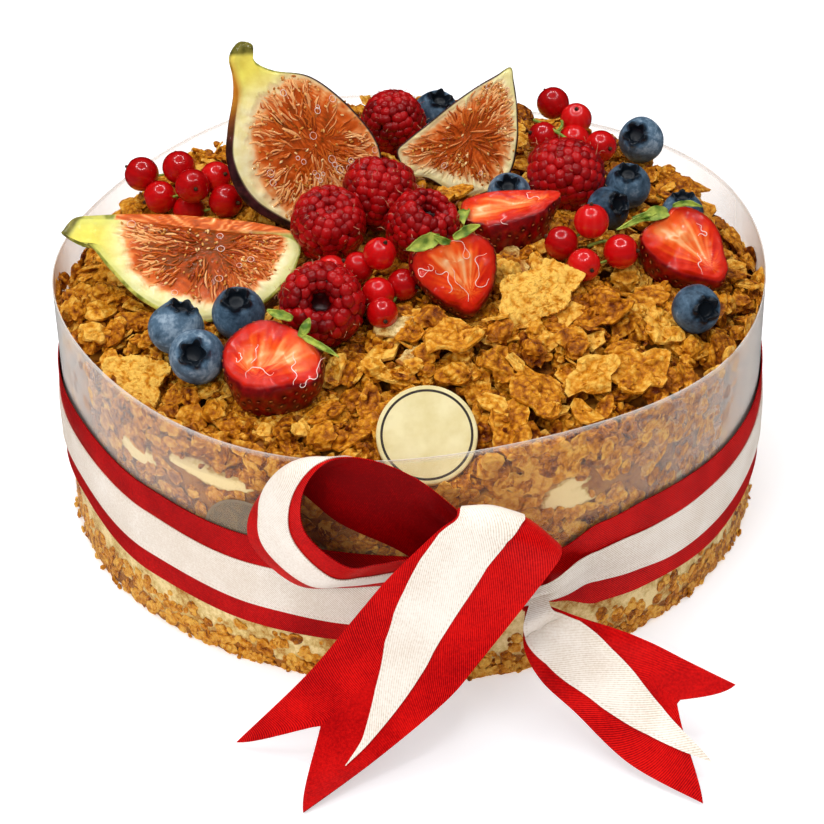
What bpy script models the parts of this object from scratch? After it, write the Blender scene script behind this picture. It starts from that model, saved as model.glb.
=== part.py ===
# Napoleon cake in a clear collar, tied with a red and a white ribbon and topped with fruit.
# Lengths are millimetres and angles degrees until a mesh is handed to Blender, which works in metres.
# The origin is the centre of the underside. The bow faces -Y.

import math
import random

import bmesh
import bpy
from mathutils import Matrix, Vector, noise
from mathutils.bvhtree import BVHTree

MM = 0.001
SEED = 8

# Collar: a strip of stiff clear film bent round the cake
COLLAR_RADIUS = 110.0
COLLAR_HEIGHT = 80.0
COLLAR_WAVE = 2.2
COLLAR_WAVE_PEAK = -69.0
FILM = 0.5
ROUND_SEGMENTS = 56
BAND_SEGMENTS = 50

# Cake
GAP = 0.4
CRUMB_RELIEF = 1.5
CAKE_RADIUS = COLLAR_RADIUS - FILM - GAP - CRUMB_RELIEF / 2
EDGE_HEIGHT = 73.5
BACK_RISE = 5.5
RIGHT_RISE = 1.5
HEAP_HEIGHT = 17.0
LUMP = 3.2
FLAKES = 34
FLAKE_RADIUS = (5.5, 10.0)
FLAKE_THICK = 1.7

# Ribbons
RIBBON_THICK = 0.5
BAND_HALF_WIDTH = 15.8
WHITE_HALF_WIDTH = 6.4
RED_RADIUS = COLLAR_RADIUS + 1.2
WHITE_LIFT = 1.1
KNOT_ANGLE = -73.5
KNOT_HEIGHT = 36.0
# Middle height of the band at some angles round the cake
BAND_COURSE = ((-180, 38.0), (-157, 42.0), (-135, 37.5), (-115, 33.5), (-90, 32.0),
               (KNOT_ANGLE, 34.0), (-55, 33.5), (-35, 32.0), (-10, 33.0), (40, 36.0),
               (90, 37.0), (140, 37.0), (180, 38.0))

# Each ribbon run is a list of stations, and each station is its two edges. The first edge is the one
# for which (direction of the run) x (first edge - second edge) points to the side with the white ribbon.
BOW_LOOP = (((31.5, -113.5, 43), (31, -112.8, 38.5)),
            ((12, -119, 68.5), (7, -114.3, 46)),
            ((0, -119, 80.5), (-7, -114, 54)),
            ((-13, -122, 89), (-21, -112.7, 61.5)),
            ((-23, -126, 91), (-35.5, -110.8, 74)),
            ((-29.5, -125, 80.5), (-45, -106, 62)),
            ((-29.5, -123.5, 66), (-46, -106, 49)),
            ((-19, -126.5, 56.5), (-34, -110.5, 38.5)),
            ((-10, -124, 55), (-21, -113, 38.5)),
            ((2, -121, 54.5), (-4, -114.5, 40.5)),
            ((19, -117.5, 48), (17, -114, 40)),
            ((31.5, -113, 41), (31, -112.8, 37)))
FOLD = (((34, -112.2, 42), (30.5, -112.8, 42)),
        ((36.5, -117, 49), (24.5, -117.3, 51)),
        ((38.5, -121.5, 56), (15, -119.5, 64)),
        ((39.5, -125, 60.5), (12, -121.3, 70.8)),
        ((39.6, -127.8, 61.6), (11.8, -123.6, 72.6)),
        ((38.5, -130.2, 59.5), (11, -125.8, 71.4)),
        ((31.5, -133.5, 50.5), (6, -127, 68)),
        ((17, -141, 34), (-7, -129.5, 55)),
        ((7.5, -145.5, 24), (-16, -131.5, 44)),
        ((-11, -152.5, 10.5), (-31, -134, 24.5)),
        ((-32, -163.5, 0.9), (-51.5, -135, 1.3)))
RIGHT_TAIL = (((34, -111.5, 31), (31, -112.3, 29)),
              ((44.5, -117, 30), (30, -121, 22.5)),
              ((55, -121.5, 29), (34.5, -128, 16)),
              ((65, -127, 28), (43.5, -138, 12.5)),
              ((75.5, -133, 25.5), (58, -151, 4.5)),
              ((87.5, -140, 23), (77, -163.5, 0.9)))
# How far a run is arched across its width, at shares of the run
LOOP_ARCH = ((0, 0.0), (0.25, 0.5), (0.38, 3.0), (0.5, 1.0), (1, 0.0))
FOLD_ARCH = ((0, 0.0), (0.15, 0.5), (0.32, 4.0), (0.45, 4.5), (0.58, 1.5), (0.7, 0.0), (1, 0.0))
LOOP_ROWS, FOLD_ROWS, TAIL_ROWS = 24, 28, 12
# Where each tail is notched: share of the run, and share of the width from the first edge
FOLD_NOTCH = (0.922, 0.565)
TAIL_NOTCH = (0.826, 0.337)
# The white ribbon's two edges on a run: share of the run, and shares of the width from the first edge
LOOP_STRIPE = ((0, 0.3, 0.7), (0.4, 0.24, 0.78), (0.55, 0.26, 0.78), (0.7, 0.42, 0.78), (1, 0.42, 0.75))
FOLD_STRIPE = ((0, 0.42, 0.9), (0.4, 0.38, 0.985), (0.5, 0.43, 0.985), (0.6, 0.44, 0.98),
               (0.65, 0.42, 0.93), (0.7, 0.37, 0.84), (0.75, 0.34, 0.78), (0.8, 0.29, 0.69),
               (0.85, 0.22, 0.5), (0.9, 0.14, 0.23), (1, 0.06, 0.08))
TAIL_STRIPE = ((0, 0.1, 0.95), (0.15, 0.08, 0.95), (0.25, 0.07, 0.89), (0.35, 0.14, 0.83),
               (0.5, 0.25, 0.82), (0.65, 0.34, 0.79), (0.8, 0.45, 0.71), (0.9, 0.56, 0.69),
               (1, 0.66, 0.67))

# Fruit is placed by its plan position, its height over the heap, its own axis and, where it is cut, the
# direction that its cut face looks.
RASPBERRIES = {
    "raspberry_back": dict(at=(-4, 46), lift=11, axis=(0.1, 0.2, -1), radius=9.8),
    "raspberry_left": dict(at=(-24, -14.5), lift=11, axis=(0.1, -0.45, 0.9), radius=10.4),
    "raspberry_middle": dict(at=(-8.6, 0), lift=12.5, axis=(0.2, 0.6, 0.8), radius=10.4),
    "raspberry_right": dict(at=(4.3, -16), lift=9.5, axis=(0.35, -0.2, 0.9), radius=10.2),
    "raspberry_front": dict(at=(-25.5, -49), lift=8, axis=(0, -0.8, 0.6), radius=11.6),
    "raspberry_far_right": dict(at=(49, 16), lift=8.5, axis=(-0.95, 0.2, -0.2), radius=11.0,
                                stretch=1.05),
}
BLUEBERRIES = {
    "blueberry_1": dict(at=(-68, -51.5), lift=8, axis=(0.3, 0.1, 0.95), radius=8.0),
    "blueberry_2": dict(at=(-50, -49), lift=8, axis=(0, -0.4, 0.9), radius=7.8),
    "blueberry_3": dict(at=(-61.2, -66), lift=9, axis=(-0.05, -0.75, 0.65), radius=8.0),
    "blueberry_4": dict(at=(10, 61), lift=8, axis=(0.2, -0.3, 0.9), radius=7.4),
    "blueberry_5": dict(at=(31.5, 8), lift=6, axis=(-0.1, -0.5, 0.85), radius=6.9),
    "blueberry_6": dict(at=(76, 48), lift=8, axis=(-0.35, -0.65, 0.67), radius=7.4),
    "blueberry_7": dict(at=(68.5, 13.5), lift=8, axis=(0, -0.35, 0.93), radius=7.2),
    "blueberry_8": dict(at=(61.5, -1), lift=8, axis=(0.5, -0.6, 0.6), radius=6.6),
    "blueberry_9": dict(at=(85, 5), lift=6, axis=(0, 0, 1), radius=6.4),
    "blueberry_10": dict(at=(84, -46), lift=7.5, axis=(0.35, -0.8, 0.45), radius=7.2),
}
STRAWBERRIES = {
    "strawberry_front": dict(at=(-40.5, -76), lift=9, axis=(0.85, 0.35, 0.4), face=(-0.15, -0.55, 0.8),
                             length=31, radius=15.5),
    "strawberry_back": dict(at=(31, -10), lift=12, axis=(-1, -0.2, -0.05), face=(0.02, -0.1, 1),
                            length=32, radius=13.5),
    "strawberry_middle": dict(at=(16, -41), lift=9, axis=(-0.35, 0.35, 0.8), face=(0.1, -0.75, 0.65),
                              length=28, radius=13.0),
    "strawberry_right": dict(at=(85.5, -21), lift=8.5, axis=(-0.7, 0.35, 0.5), face=(0.15, -0.65, 0.7),
                             length=30, radius=13.0),
}
# Currants: each berry is its plan position and its height over the heap
CURRANTS = {
    "currants_left": dict(radius=5.4, berries=((-84, 30, 12), (-72, 29, 12), (-60, 23, 9.5),
                                               (-67, 17, 11), (-78, 23, 6), (-69, 20, 1),
                                               (-57, 17, 4))),
    "currants_middle": dict(radius=4.9, berries=((-8.5, -34, 13), (-15, -33, 8), (-23, -29, 5),
                                                 (-9.3, -43, 6), (-2, -38.5, 5.5), (-8, -50.5, 5))),
    "currants_back": dict(radius=5.2, berries=((48, 57, 14), (55, 50, 12), (44, 43, 8),
                                               (54, 44, 7), (62, 37, 9), (58, 37, 5))),
    "currants_right": dict(radius=5.3, berries=((55, -17, 13), (46, -20, 7), (52, -29, 6),
                                                (63.5, -22.5, 7))),
}
FIGS = {
    "fig_half": dict(base=(-19.5, 5, 88), stem=(-49, 19.5, 144), face=(0.2, -0.92, 0.34),
                     radius=22.0, neck=True),
    "fig_wedge": dict(base=(-32.4, -23.1, 94.6), stem=(-103.8, -20.2, 97.1), face=(0, -0.64, 0.77),
                      radius=22.0, neck=True, trim=4.7),
    "fig_slice": dict(base=(13, 21, 91), stem=(34, 37, 125), face=(0.1, -0.92, 0.38),
                      radius=18.5, neck=False),
}
CHOCOLATE_DISC = dict(centre=(4, -94.3, 77.0), lean=44.0, radius=14.2, thick=2.6)
SEAL = dict(angle=-115.7, height=51.0, radius=13.6, thick=0.3)
LARGE_FLAKES = {
    "pastry_flake_right": dict(at=(39.5, -41), lift=3.0, face=(0.1, -0.5, 0.85), size=(14, 11.5)),
    "pastry_flake_left": dict(at=(-76.5, -62), lift=1.5, face=(-0.2, -0.55, 0.8), size=(9.5, 8.5)),
}


def clear_scene():
    for obj in list(bpy.data.objects):
        bpy.data.objects.remove(obj, do_unlink=True)


def make_collection(name):
    made = bpy.data.collections.new(name)
    bpy.context.scene.collection.children.link(made)
    return made


def material(name, colour, roughness, metallic=0.0):
    made = bpy.data.materials.new(name)
    made.use_nodes = True
    shader = made.node_tree.nodes["Principled BSDF"]
    shader.inputs["Base Color"].default_value = (*colour, 1.0)
    shader.inputs["Roughness"].default_value = roughness
    shader.inputs["Metallic"].default_value = metallic
    return made


def add_object(name, bm, collection, finish=None, smooth=True):
    """Writes a bmesh in millimetres as an object in metres."""
    bmesh.ops.scale(bm, vec=(MM, MM, MM), verts=bm.verts)
    mesh = bpy.data.meshes.new(name)
    bm.to_mesh(mesh)
    bm.free()
    if smooth:
        mesh.shade_smooth()
        mesh.set_sharp_from_angle(angle=math.radians(40))
    if finish:
        mesh.materials.append(finish)
    obj = bpy.data.objects.new(name, mesh)
    collection.objects.link(obj)
    return obj


def evaluated_mesh(obj):
    bpy.context.view_layer.update()
    graph = bpy.context.evaluated_depsgraph_get()
    return bpy.data.meshes.new_from_object(obj.evaluated_get(graph))


def apply_modifiers(obj):
    mesh = evaluated_mesh(obj)
    obj.modifiers.clear()
    obj.data = mesh


def join_all(obj, parts, solver="MANIFOLD"):
    """One Boolean union of obj with the parts, applied, and the parts then removed."""
    group = bpy.data.collections.new(obj.name + "_parts")
    bpy.context.scene.collection.children.link(group)
    for part in parts:
        for holder in list(part.users_collection):
            holder.objects.unlink(part)
        group.objects.link(part)
    union = obj.modifiers.new("join", "BOOLEAN")
    union.operation = "UNION"
    union.operand_type = "COLLECTION"
    union.collection = group
    union.solver = solver
    apply_modifiers(obj)
    for part in parts:
        bpy.data.objects.remove(part, do_unlink=True)
    bpy.data.collections.remove(group)
    drop_scraps(obj)


def drop_scraps(obj, least=5.0):
    """Removes what a union leaves over: loose scraps, and sealed hollows, whose volume is negative."""
    bm = bmesh.new()
    bm.from_mesh(obj.data)
    left = set(bm.faces)
    doomed = []
    while left:
        island, fringe = [], [left.pop()]
        while fringe:
            face = fringe.pop()
            island.append(face)
            near = {other for edge in face.edges for other in edge.link_faces} & left
            left -= near
            fringe.extend(near)
        volume = 0.0
        for face in island:
            corners = [vert.co for vert in face.verts]
            for second, third in zip(corners[1:], corners[2:]):
                volume += corners[0].dot(second.cross(third)) / 6
        if volume < least * MM ** 3:
            doomed.extend(island)
    bmesh.ops.delete(bm, geom=doomed, context="FACES")
    bm.to_mesh(obj.data)
    bm.free()


def pose(at, axis, face=(0, -1, 0)):
    """A matrix whose local Z is the axis and whose local Y is the face direction, as near as it can be."""
    z = Vector(axis).normalized()
    y = Vector(face)
    y = (y - z * y.dot(z)).normalized()
    x = y.cross(z)
    turn = Matrix((x, y, z)).transposed().to_4x4()
    return Matrix.Translation(Vector(at)) @ turn


def heap_height(x, y):
    """Height of the top without its crumbs: higher at the back, domed towards the middle."""
    share = min(math.hypot(x, y) / CAKE_RADIUS, 0.999)
    rim = EDGE_HEIGHT + BACK_RISE * y / CAKE_RADIUS + RIGHT_RISE * x / CAKE_RADIUS
    return rim + HEAP_HEIGHT * (1 - share * share) ** 0.6


def over_heap(at, lift):
    return Vector((at[0], at[1], heap_height(*at) + lift))


def formed_sphere(around, rows, form):
    """A closed sphere whose rows follow form(row share, angle), which gives a radius and a height."""
    bm = bmesh.new()
    bmesh.ops.create_uvsphere(bm, u_segments=around, v_segments=rows, radius=1.0)
    for vert in bm.verts:
        share = math.acos(max(-1.0, min(1.0, vert.co.z))) / math.pi
        angle = math.atan2(vert.co.y, vert.co.x)
        radius, height = form(share, angle)
        at_pole = math.hypot(vert.co.x, vert.co.y) < 1e-5
        radius = 0.0 if at_pole else radius
        vert.co = Vector((radius * math.cos(angle), radius * math.sin(angle), height))
    return bm


def along(points, share):
    """Height or radius read from (share, value) points joined by straight lines."""
    for (start, low), (end, high) in zip(points, points[1:]):
        if share <= end:
            return low + (high - low) * (share - start) / (end - start)
    return points[-1][1]


def smooth_along(points, place):
    """The same, joined by a smooth curve."""
    for (start, low), (end, high) in zip(points, points[1:]):
        if place <= end:
            step = (place - start) / (end - start)
            return low + (high - low) * step * step * (3 - 2 * step)
    return points[-1][1]


def through(points, place):
    """A Catmull-Rom curve through the points, read at place, counted in points."""
    index = min(int(place), len(points) - 2)
    step = place - index
    before = points[max(index - 1, 0)]
    after = points[min(index + 2, len(points) - 1)]
    here, there = points[index], points[index + 1]
    return 0.5 * (2 * here + (there - before) * step
                  + (2 * before - 5 * here + 4 * there - after) * step ** 2
                  + (3 * here - before - 3 * there + after) * step ** 3)


class Run:
    """A ribbon run through its stations. point(along, across) is a place on it."""

    def __init__(self, stations, arch=((0, 0.0), (1, 0.0))):
        self.first = [Vector(a) for a, b in stations]
        self.second = [Vector(b) for a, b in stations]
        self.steps = len(stations) - 1
        self.arch = arch

    def edges(self, run):
        return through(self.first, run * self.steps), through(self.second, run * self.steps)

    def normal(self, run):
        before, after = self.edges(max(run - 0.02, 0)), self.edges(min(run + 0.02, 1))
        ahead = after[0] + after[1] - before[0] - before[1]
        first, second = self.edges(run)
        return ahead.cross(first - second).normalized()

    def point(self, run, across, lift=0.0):
        first, second = self.edges(run)
        rise = lift + 4 * across * (1 - across) * smooth_along(self.arch, run)
        return first.lerp(second, across) + self.normal(run) * rise

    def stripe_row(self, run, edges):
        """Both edges and the middle of a narrower ribbon that lies on this run."""
        first = along([(share, a) for share, a, b in edges], run)
        second = along([(share, b) for share, a, b in edges], run)
        return [self.point(run, across, WHITE_LIFT) for across in (first, (first + second) / 2, second)]


def sheet_solid(name, rows, collection):
    """A thin closed sheet through rows of points."""
    across = len(rows[0]) - 1
    bm = bmesh.new()
    bmesh.ops.create_grid(bm, x_segments=len(rows) - 1, y_segments=across, size=1.0)
    for vert in bm.verts:
        row = round((vert.co.x + 1) / 2 * (len(rows) - 1))
        vert.co = rows[row][round((vert.co.y + 1) / 2 * across)]
    obj = add_object(name, bm, collection)
    thicken(obj)
    return obj


def thicken(obj):
    shell = obj.modifiers.new("thickness", "SOLIDIFY")
    shell.thickness = RIBBON_THICK * MM
    shell.offset = 0
    apply_modifiers(obj)


def tail_rows(run, count, columns, notch=None):
    """Rows of a run as wide as its stations, drawn back to a swallow-tail notch at its end."""
    rows = []
    for index in range(count + 1):
        share = index / count
        row = []
        for across in columns:
            place = share
            if notch and share > 0.7:
                near = across / notch[1] if across < notch[1] else (1 - across) / (1 - notch[1])
                end = 1 - (1 - notch[0]) * near
                place = 0.7 + (end - 0.7) * (share - 0.7) / 0.3
            row.append(run.point(place, across))
        rows.append(row)
    return rows


def three(first, second):
    """A row of three points between two edges."""
    first, second = Vector(first), Vector(second)
    return [first, (first + second) / 2, second]


def on_collar(angle, radius, height):
    turn = math.radians(angle)
    return Vector((radius * math.cos(turn), radius * math.sin(turn), height))


def from_knot(angle):
    return abs((angle - KNOT_ANGLE + 180) % 360 - 180)


def band_sheet(name, radius, height, half_width, collection):
    """A ribbon laid once round the collar, with its points closer together near the knot."""
    bm = bmesh.new()
    bmesh.ops.create_cone(bm, segments=BAND_SEGMENTS, radius1=1, radius2=1, depth=2)
    for vert in bm.verts:
        turn = math.atan2(vert.co.y, vert.co.x)
        angle = KNOT_ANGLE + math.degrees(turn - 0.4 * math.sin(turn))
        angle = (angle + 180) % 360 - 180
        offset = half_width(angle) * (1 if vert.co.z > 0 else -1)
        vert.co = on_collar(angle, radius(angle), height(angle) + offset)
    obj = add_object(name, bm, collection)
    thicken(obj)
    return obj


def blob(name, centre, size, turn, collection):
    bm = formed_sphere(10, 7, lambda share, angle: (math.sin(share * math.pi), math.cos(share * math.pi)))
    bmesh.ops.scale(bm, vec=size, verts=bm.verts)
    bm.transform(Matrix.Translation(Vector(centre)) @ Matrix.Rotation(math.radians(turn), 4, "Z"))
    return add_object(name, bm, collection)


def build_red_ribbon(collection, finish):
    def half_width(angle):
        return smooth_along(((0, 5.0), (6, 8.5), (18, 14.5), (30, BAND_HALF_WIDTH), (180, BAND_HALF_WIDTH)),
                            from_knot(angle))

    band = band_sheet("ribbon_red", lambda angle: RED_RADIUS,
                      lambda angle: smooth_along(BAND_COURSE, angle), half_width, collection)
    loop = sheet_solid("loop", tail_rows(Run(BOW_LOOP, LOOP_ARCH), LOOP_ROWS, (0, 0.33, 0.67, 1)), collection)
    fold = sheet_solid("fold", tail_rows(Run(FOLD, FOLD_ARCH), FOLD_ROWS, (0, 0.28, 0.565, 0.78, 1),
                                         FOLD_NOTCH), collection)
    tail = sheet_solid("tail", tail_rows(Run(RIGHT_TAIL), TAIL_ROWS, (0, 0.337, 1), TAIL_NOTCH), collection)
    knot = blob("knot", on_collar(KNOT_ANGLE, RED_RADIUS + 3.6, KNOT_HEIGHT), (5.5, 4.2, 9.5),
                KNOT_ANGLE + 90, collection)
    join_all(band, [loop, fold, tail, knot])
    band.data.materials.append(finish)
    return band


def build_white_ribbon(collection, finish):
    """It lies on the red band, swells out over the knot, and runs on from there over the bow."""
    def radius(angle):
        swell = max(0.0, 1 - from_knot(angle) / 11)
        return RED_RADIUS + 0.85 + 9.6 * swell * swell * (3 - 2 * swell)

    def height(angle):
        drop = smooth_along(((0, 3.0), (12, -0.5), (30, -3.0), (120, -2.0), (180, -2.0)), from_knot(angle))
        return smooth_along(BAND_COURSE, angle) + drop

    def half_width(angle):
        return smooth_along(((0, 2.6), (10, 3.8), (26, WHITE_HALF_WIDTH), (180, WHITE_HALF_WIDTH)),
                            from_knot(angle))

    band = band_sheet("ribbon_white", radius, height, half_width, collection)
    run = Run(BOW_LOOP, LOOP_ARCH)
    loop_rows = [run.stripe_row(index / LOOP_ROWS, LOOP_STRIPE) for index in range(2, LOOP_ROWS - 2)]
    loop_rows.append(three((26, -118, 42), (25.5, -118.5, 38)))
    loop_rows.append(three((31.5, -115.8, 38.5), (31.5, -115.8, 36)))
    run = Run(FOLD, FOLD_ARCH)
    fold_rows = [three((15, -111.2, 32), (10, -111.5, 32)), three((19, -112.2, 41), (14.5, -112.5, 41)),
                 three((25, -113.3, 50), (21, -113.3, 50)), three((28.5, -115.5, 57), (24, -115.5, 58))]
    for index in range(7, round(0.93 * FOLD_ROWS)):
        fold_rows.append(run.stripe_row(index / FOLD_ROWS, FOLD_STRIPE))
    run = Run(RIGHT_TAIL)
    tail_start = [three((36.5, -114.8, 37.5), (32.5, -115.9, 36)), three((38, -118.8, 34), (30, -120.5, 30))]
    tail_rows_white = [run.stripe_row(index / TAIL_ROWS, TAIL_STRIPE) for index in range(2, TAIL_ROWS)]
    parts = [sheet_solid("loop", loop_rows, collection), sheet_solid("front", fold_rows, collection),
             sheet_solid("tail", tail_start + tail_rows_white, collection)]
    join_all(band, parts)
    band.data.materials.append(finish)
    return band


def build_collar(collection, finish):
    bm = bmesh.new()
    bmesh.ops.create_cone(bm, segments=ROUND_SEGMENTS, radius1=1, radius2=1, depth=2)
    for vert in bm.verts:
        angle = math.degrees(math.atan2(vert.co.y, vert.co.x))
        wave = COLLAR_WAVE * math.cos(math.radians(4 * (angle - COLLAR_WAVE_PEAK)))
        height = COLLAR_HEIGHT + wave if vert.co.z > 0 else 0.0
        vert.co = on_collar(angle, COLLAR_RADIUS, height)
    obj = add_object("collar_film", bm, collection, finish)
    shell = obj.modifiers.new("thickness", "SOLIDIFY")
    shell.thickness = FILM * MM
    shell.offset = -1
    return obj


def build_seal(collection, finish):
    """A round sticker laid on the film."""
    def form(share, angle):
        return math.sin(share * math.pi) ** 0.7, math.copysign(1, 0.5 - share)

    bm = formed_sphere(18, 5, form)
    for vert in bm.verts:
        depth = COLLAR_RADIUS + 0.3 + SEAL["thick"] * (0.5 + 0.5 * vert.co.z)
        swing = math.degrees(vert.co.x * SEAL["radius"] / COLLAR_RADIUS)
        vert.co = on_collar(SEAL["angle"] + swing, depth, SEAL["height"] + vert.co.y * SEAL["radius"])
    return add_object("collar_seal", bm, collection, finish)


def build_disc(collection, finish):
    bm = bmesh.new()
    bmesh.ops.create_cone(bm, cap_ends=True, segments=26, radius1=CHOCOLATE_DISC["radius"],
                          radius2=CHOCOLATE_DISC["radius"], depth=CHOCOLATE_DISC["thick"])
    rims = [edge for edge in bm.edges if abs(edge.verts[0].co.z - edge.verts[1].co.z) < 1e-4]
    bmesh.ops.bevel(bm, geom=rims, offset=0.5, segments=1, affect="EDGES")
    bm.transform(Matrix.Translation(Vector(CHOCOLATE_DISC["centre"]))
                 @ Matrix.Rotation(math.radians(CHOCOLATE_DISC["lean"]), 4, "X"))
    return add_object("chocolate_disc", bm, collection, finish)


def build_raspberry(name, spec, collection, finish):
    radius = spec["radius"]
    profile_radius = ((0, 0), (0.11, 0.24), (0.22, 0.5), (0.33, 0.82), (0.5, 1.0), (0.67, 0.95),
                      (0.78, 0.76), (0.89, 0.42), (1, 0))
    profile_height = ((0, 0.45), (0.11, 0.5), (0.22, 0.92), (0.33, 0.84), (0.5, 0.35), (0.67, -0.3),
                      (0.78, -0.7), (0.89, -0.98), (1, -1.08))

    def form(share, angle):
        row = round(share * 9)
        column = round(angle / math.tau * 14)
        bump = 0.07 if (row + column) % 2 else -0.045
        bump = bump if row > 1 else 0.0
        return radius * (along(profile_radius, share) + bump), radius * along(profile_height, share)

    bm = formed_sphere(14, 9, form)
    bmesh.ops.scale(bm, vec=(1, 1, spec.get("stretch", 1.0)), verts=bm.verts)
    bm.transform(pose(over_heap(spec["at"], spec["lift"]), spec["axis"], (0.3, 0.9, 0.2)))
    return add_object(name, bm, collection, finish)


def build_blueberry(name, spec, collection, finish):
    radius = spec["radius"]
    profile_radius = ((0, 0), (0.143, 0.3), (0.286, 0.46), (0.43, 0.9), (0.57, 1.0), (0.714, 0.86),
                      (0.857, 0.52), (1, 0))
    profile_height = ((0, 0.66), (0.143, 0.66), (0.286, 0.9), (0.43, 0.45), (0.57, -0.05), (0.714, -0.52),
                      (0.857, -0.82), (1, -0.95))

    def form(share, angle):
        crown = 1 + 0.14 * math.cos(5 * angle) if 0.2 < share < 0.35 else 1.0
        return radius * along(profile_radius, share) * crown, radius * along(profile_height, share)

    bm = formed_sphere(10, 7, form)
    bm.transform(pose(over_heap(spec["at"], spec["lift"]), spec["axis"], (0.3, 0.9, 0.2)))
    return add_object(name, bm, collection, finish)


def halve(bm):
    """Keeps the half behind the plane y = 0 and closes it with a flat cut face."""
    geometry = bm.verts[:] + bm.edges[:] + bm.faces[:]
    cut = bmesh.ops.bisect_plane(bm, geom=geometry, plane_co=(0, 0, 0), plane_no=(0, 1, 0),
                                 clear_outer=True, dist=1e-4)
    rim = [item for item in cut["geom_cut"] if isinstance(item, bmesh.types.BMEdge)]
    bmesh.ops.edgeloop_fill(bm, edges=rim)


def build_leaf(name, length, width, matrix, collection):
    """A thin wavy leaf with both faces split alike."""
    bm = bmesh.new()
    bmesh.ops.create_grid(bm, x_segments=3, y_segments=1, size=1.0)
    for vert in bm.verts:
        share = (vert.co.x + 1) / 2
        spread = width * math.sin(math.pi * (0.12 + 0.8 * share))
        vert.co = Vector((length * share, vert.co.y * spread, 2.2 * math.sin(share * 2.6) - 0.4))
    bmesh.ops.triangulate(bm, faces=bm.faces)
    bm.transform(matrix)
    obj = add_object(name, bm, collection)
    shell = obj.modifiers.new("thickness", "SOLIDIFY")
    shell.thickness = 0.6 * MM
    shell.offset = 0
    apply_modifiers(obj)
    return obj


def build_strawberry(name, spec, collection, finish):
    """Half a strawberry, stalk end at local +Z, with its leaves fused on."""
    length, radius = spec["length"], spec["radius"]
    profile_radius = ((0, 0), (0.14, 0.62), (0.28, 0.93), (0.43, 1.0), (0.57, 0.9), (0.71, 0.7),
                      (0.86, 0.42), (1, 0))
    profile_height = ((0, 0.42), (0.14, 0.46), (0.28, 0.36), (0.43, 0.18), (0.57, -0.04), (0.71, -0.27),
                      (0.86, -0.45), (1, -0.54))
    bm = formed_sphere(14, 7, lambda share, angle: (radius * along(profile_radius, share),
                                                    length * along(profile_height, share)))
    halve(bm)
    placed = pose(over_heap(spec["at"], spec["lift"]), spec["axis"], spec["face"])
    bm.transform(placed)
    obj = add_object(name, bm, collection, finish)
    leaves = []
    for index, swing in enumerate(spec.get("leaves", (-150, -105, -60, -20))):
        turn = (placed @ Matrix.Translation((0, -1.5, length * 0.4))
                @ Matrix.Rotation(math.radians(swing), 4, "Z") @ Matrix.Translation((1.5, 0, 0)))
        leaves.append(build_leaf(f"leaf_{index}", 10.5, 2.6, turn, collection))
    join_all(obj, leaves)
    return obj


def build_fig(name, spec, collection, finish):
    """A cut fig: base at local zero, stalk towards +Z, flesh looking along +Y."""
    base, stem = Vector(spec["base"]), Vector(spec["stem"])
    length, radius = (stem - base).length, spec["radius"]
    if spec["neck"]:
        profile = ((0, 0), (0.02, 0.35), (0.08, 0.68), (0.17, 0.9), (0.29, 1.0), (0.42, 0.98), (0.54, 0.9),
                   (0.64, 0.75), (0.73, 0.48), (0.81, 0.26), (0.91, 0.19), (0.985, 0.17), (1, 0))
    else:
        profile = ((0, 0), (0.04, 0.42), (0.14, 0.74), (0.3, 0.99), (0.45, 0.97), (0.6, 0.8), (0.74, 0.56),
                   (0.88, 0.26), (0.97, 0.12), (1, 0))
    rows = len(profile) - 1

    def form(share, angle):
        place, wide = profile[round(share * rows)]
        return radius * wide * (1 + 0.03 * math.sin(3 * angle + 1)), length * place

    bm = formed_sphere(20, rows, form)
    bmesh.ops.recalc_face_normals(bm, faces=bm.faces)
    if spec["neck"]:
        for vert in bm.verts:
            bend = max(0.0, vert.co.z / length - 0.6)
            vert.co.x += 34 * bend * (0.4 - bend) * spec.get("bend", 1)
    halve(bm)
    if "trim" in spec:
        cut = bmesh.ops.bisect_plane(bm, geom=bm.verts[:] + bm.edges[:] + bm.faces[:],
                                     plane_co=(-spec["trim"], 0, 0), plane_no=(-1, 0, 0),
                                     clear_outer=True, dist=1e-4)
        rim = [item for item in cut["geom_cut"] if isinstance(item, bmesh.types.BMEdge)]
        bmesh.ops.edgeloop_fill(bm, edges=rim)
    bm.transform(pose(base, stem - base, spec["face"]))
    return add_object(name, bm, collection, finish)


def build_currants(name, spec, collection, finish):
    """A sprig: berries joined by their stalk."""
    places = [over_heap(berry[:2], berry[2]) for berry in spec["berries"]]
    berries = []
    for index, place in enumerate(places):
        bm = bmesh.new()
        bmesh.ops.create_icosphere(bm, subdivisions=2, radius=spec["radius"] * (1 - 0.03 * (index % 3)))
        bmesh.ops.translate(bm, vec=place, verts=bm.verts)
        berries.append(add_object(f"berry_{index}", bm, collection))
    for index, (start, end) in enumerate(zip(places, places[1:])):
        span = end - start
        bm = bmesh.new()
        bmesh.ops.create_cone(bm, cap_ends=True, segments=3, radius1=0.9, radius2=0.9, depth=span.length)
        bm.transform(Matrix.Translation((start + end) / 2) @ span.to_track_quat("Z", "Y").to_matrix().to_4x4())
        berries.append(add_object(f"stalk_{index}", bm, collection))
    first = berries.pop(0)
    join_all(first, berries)
    first.name = name
    first.data.materials.append(finish)
    return first


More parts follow.
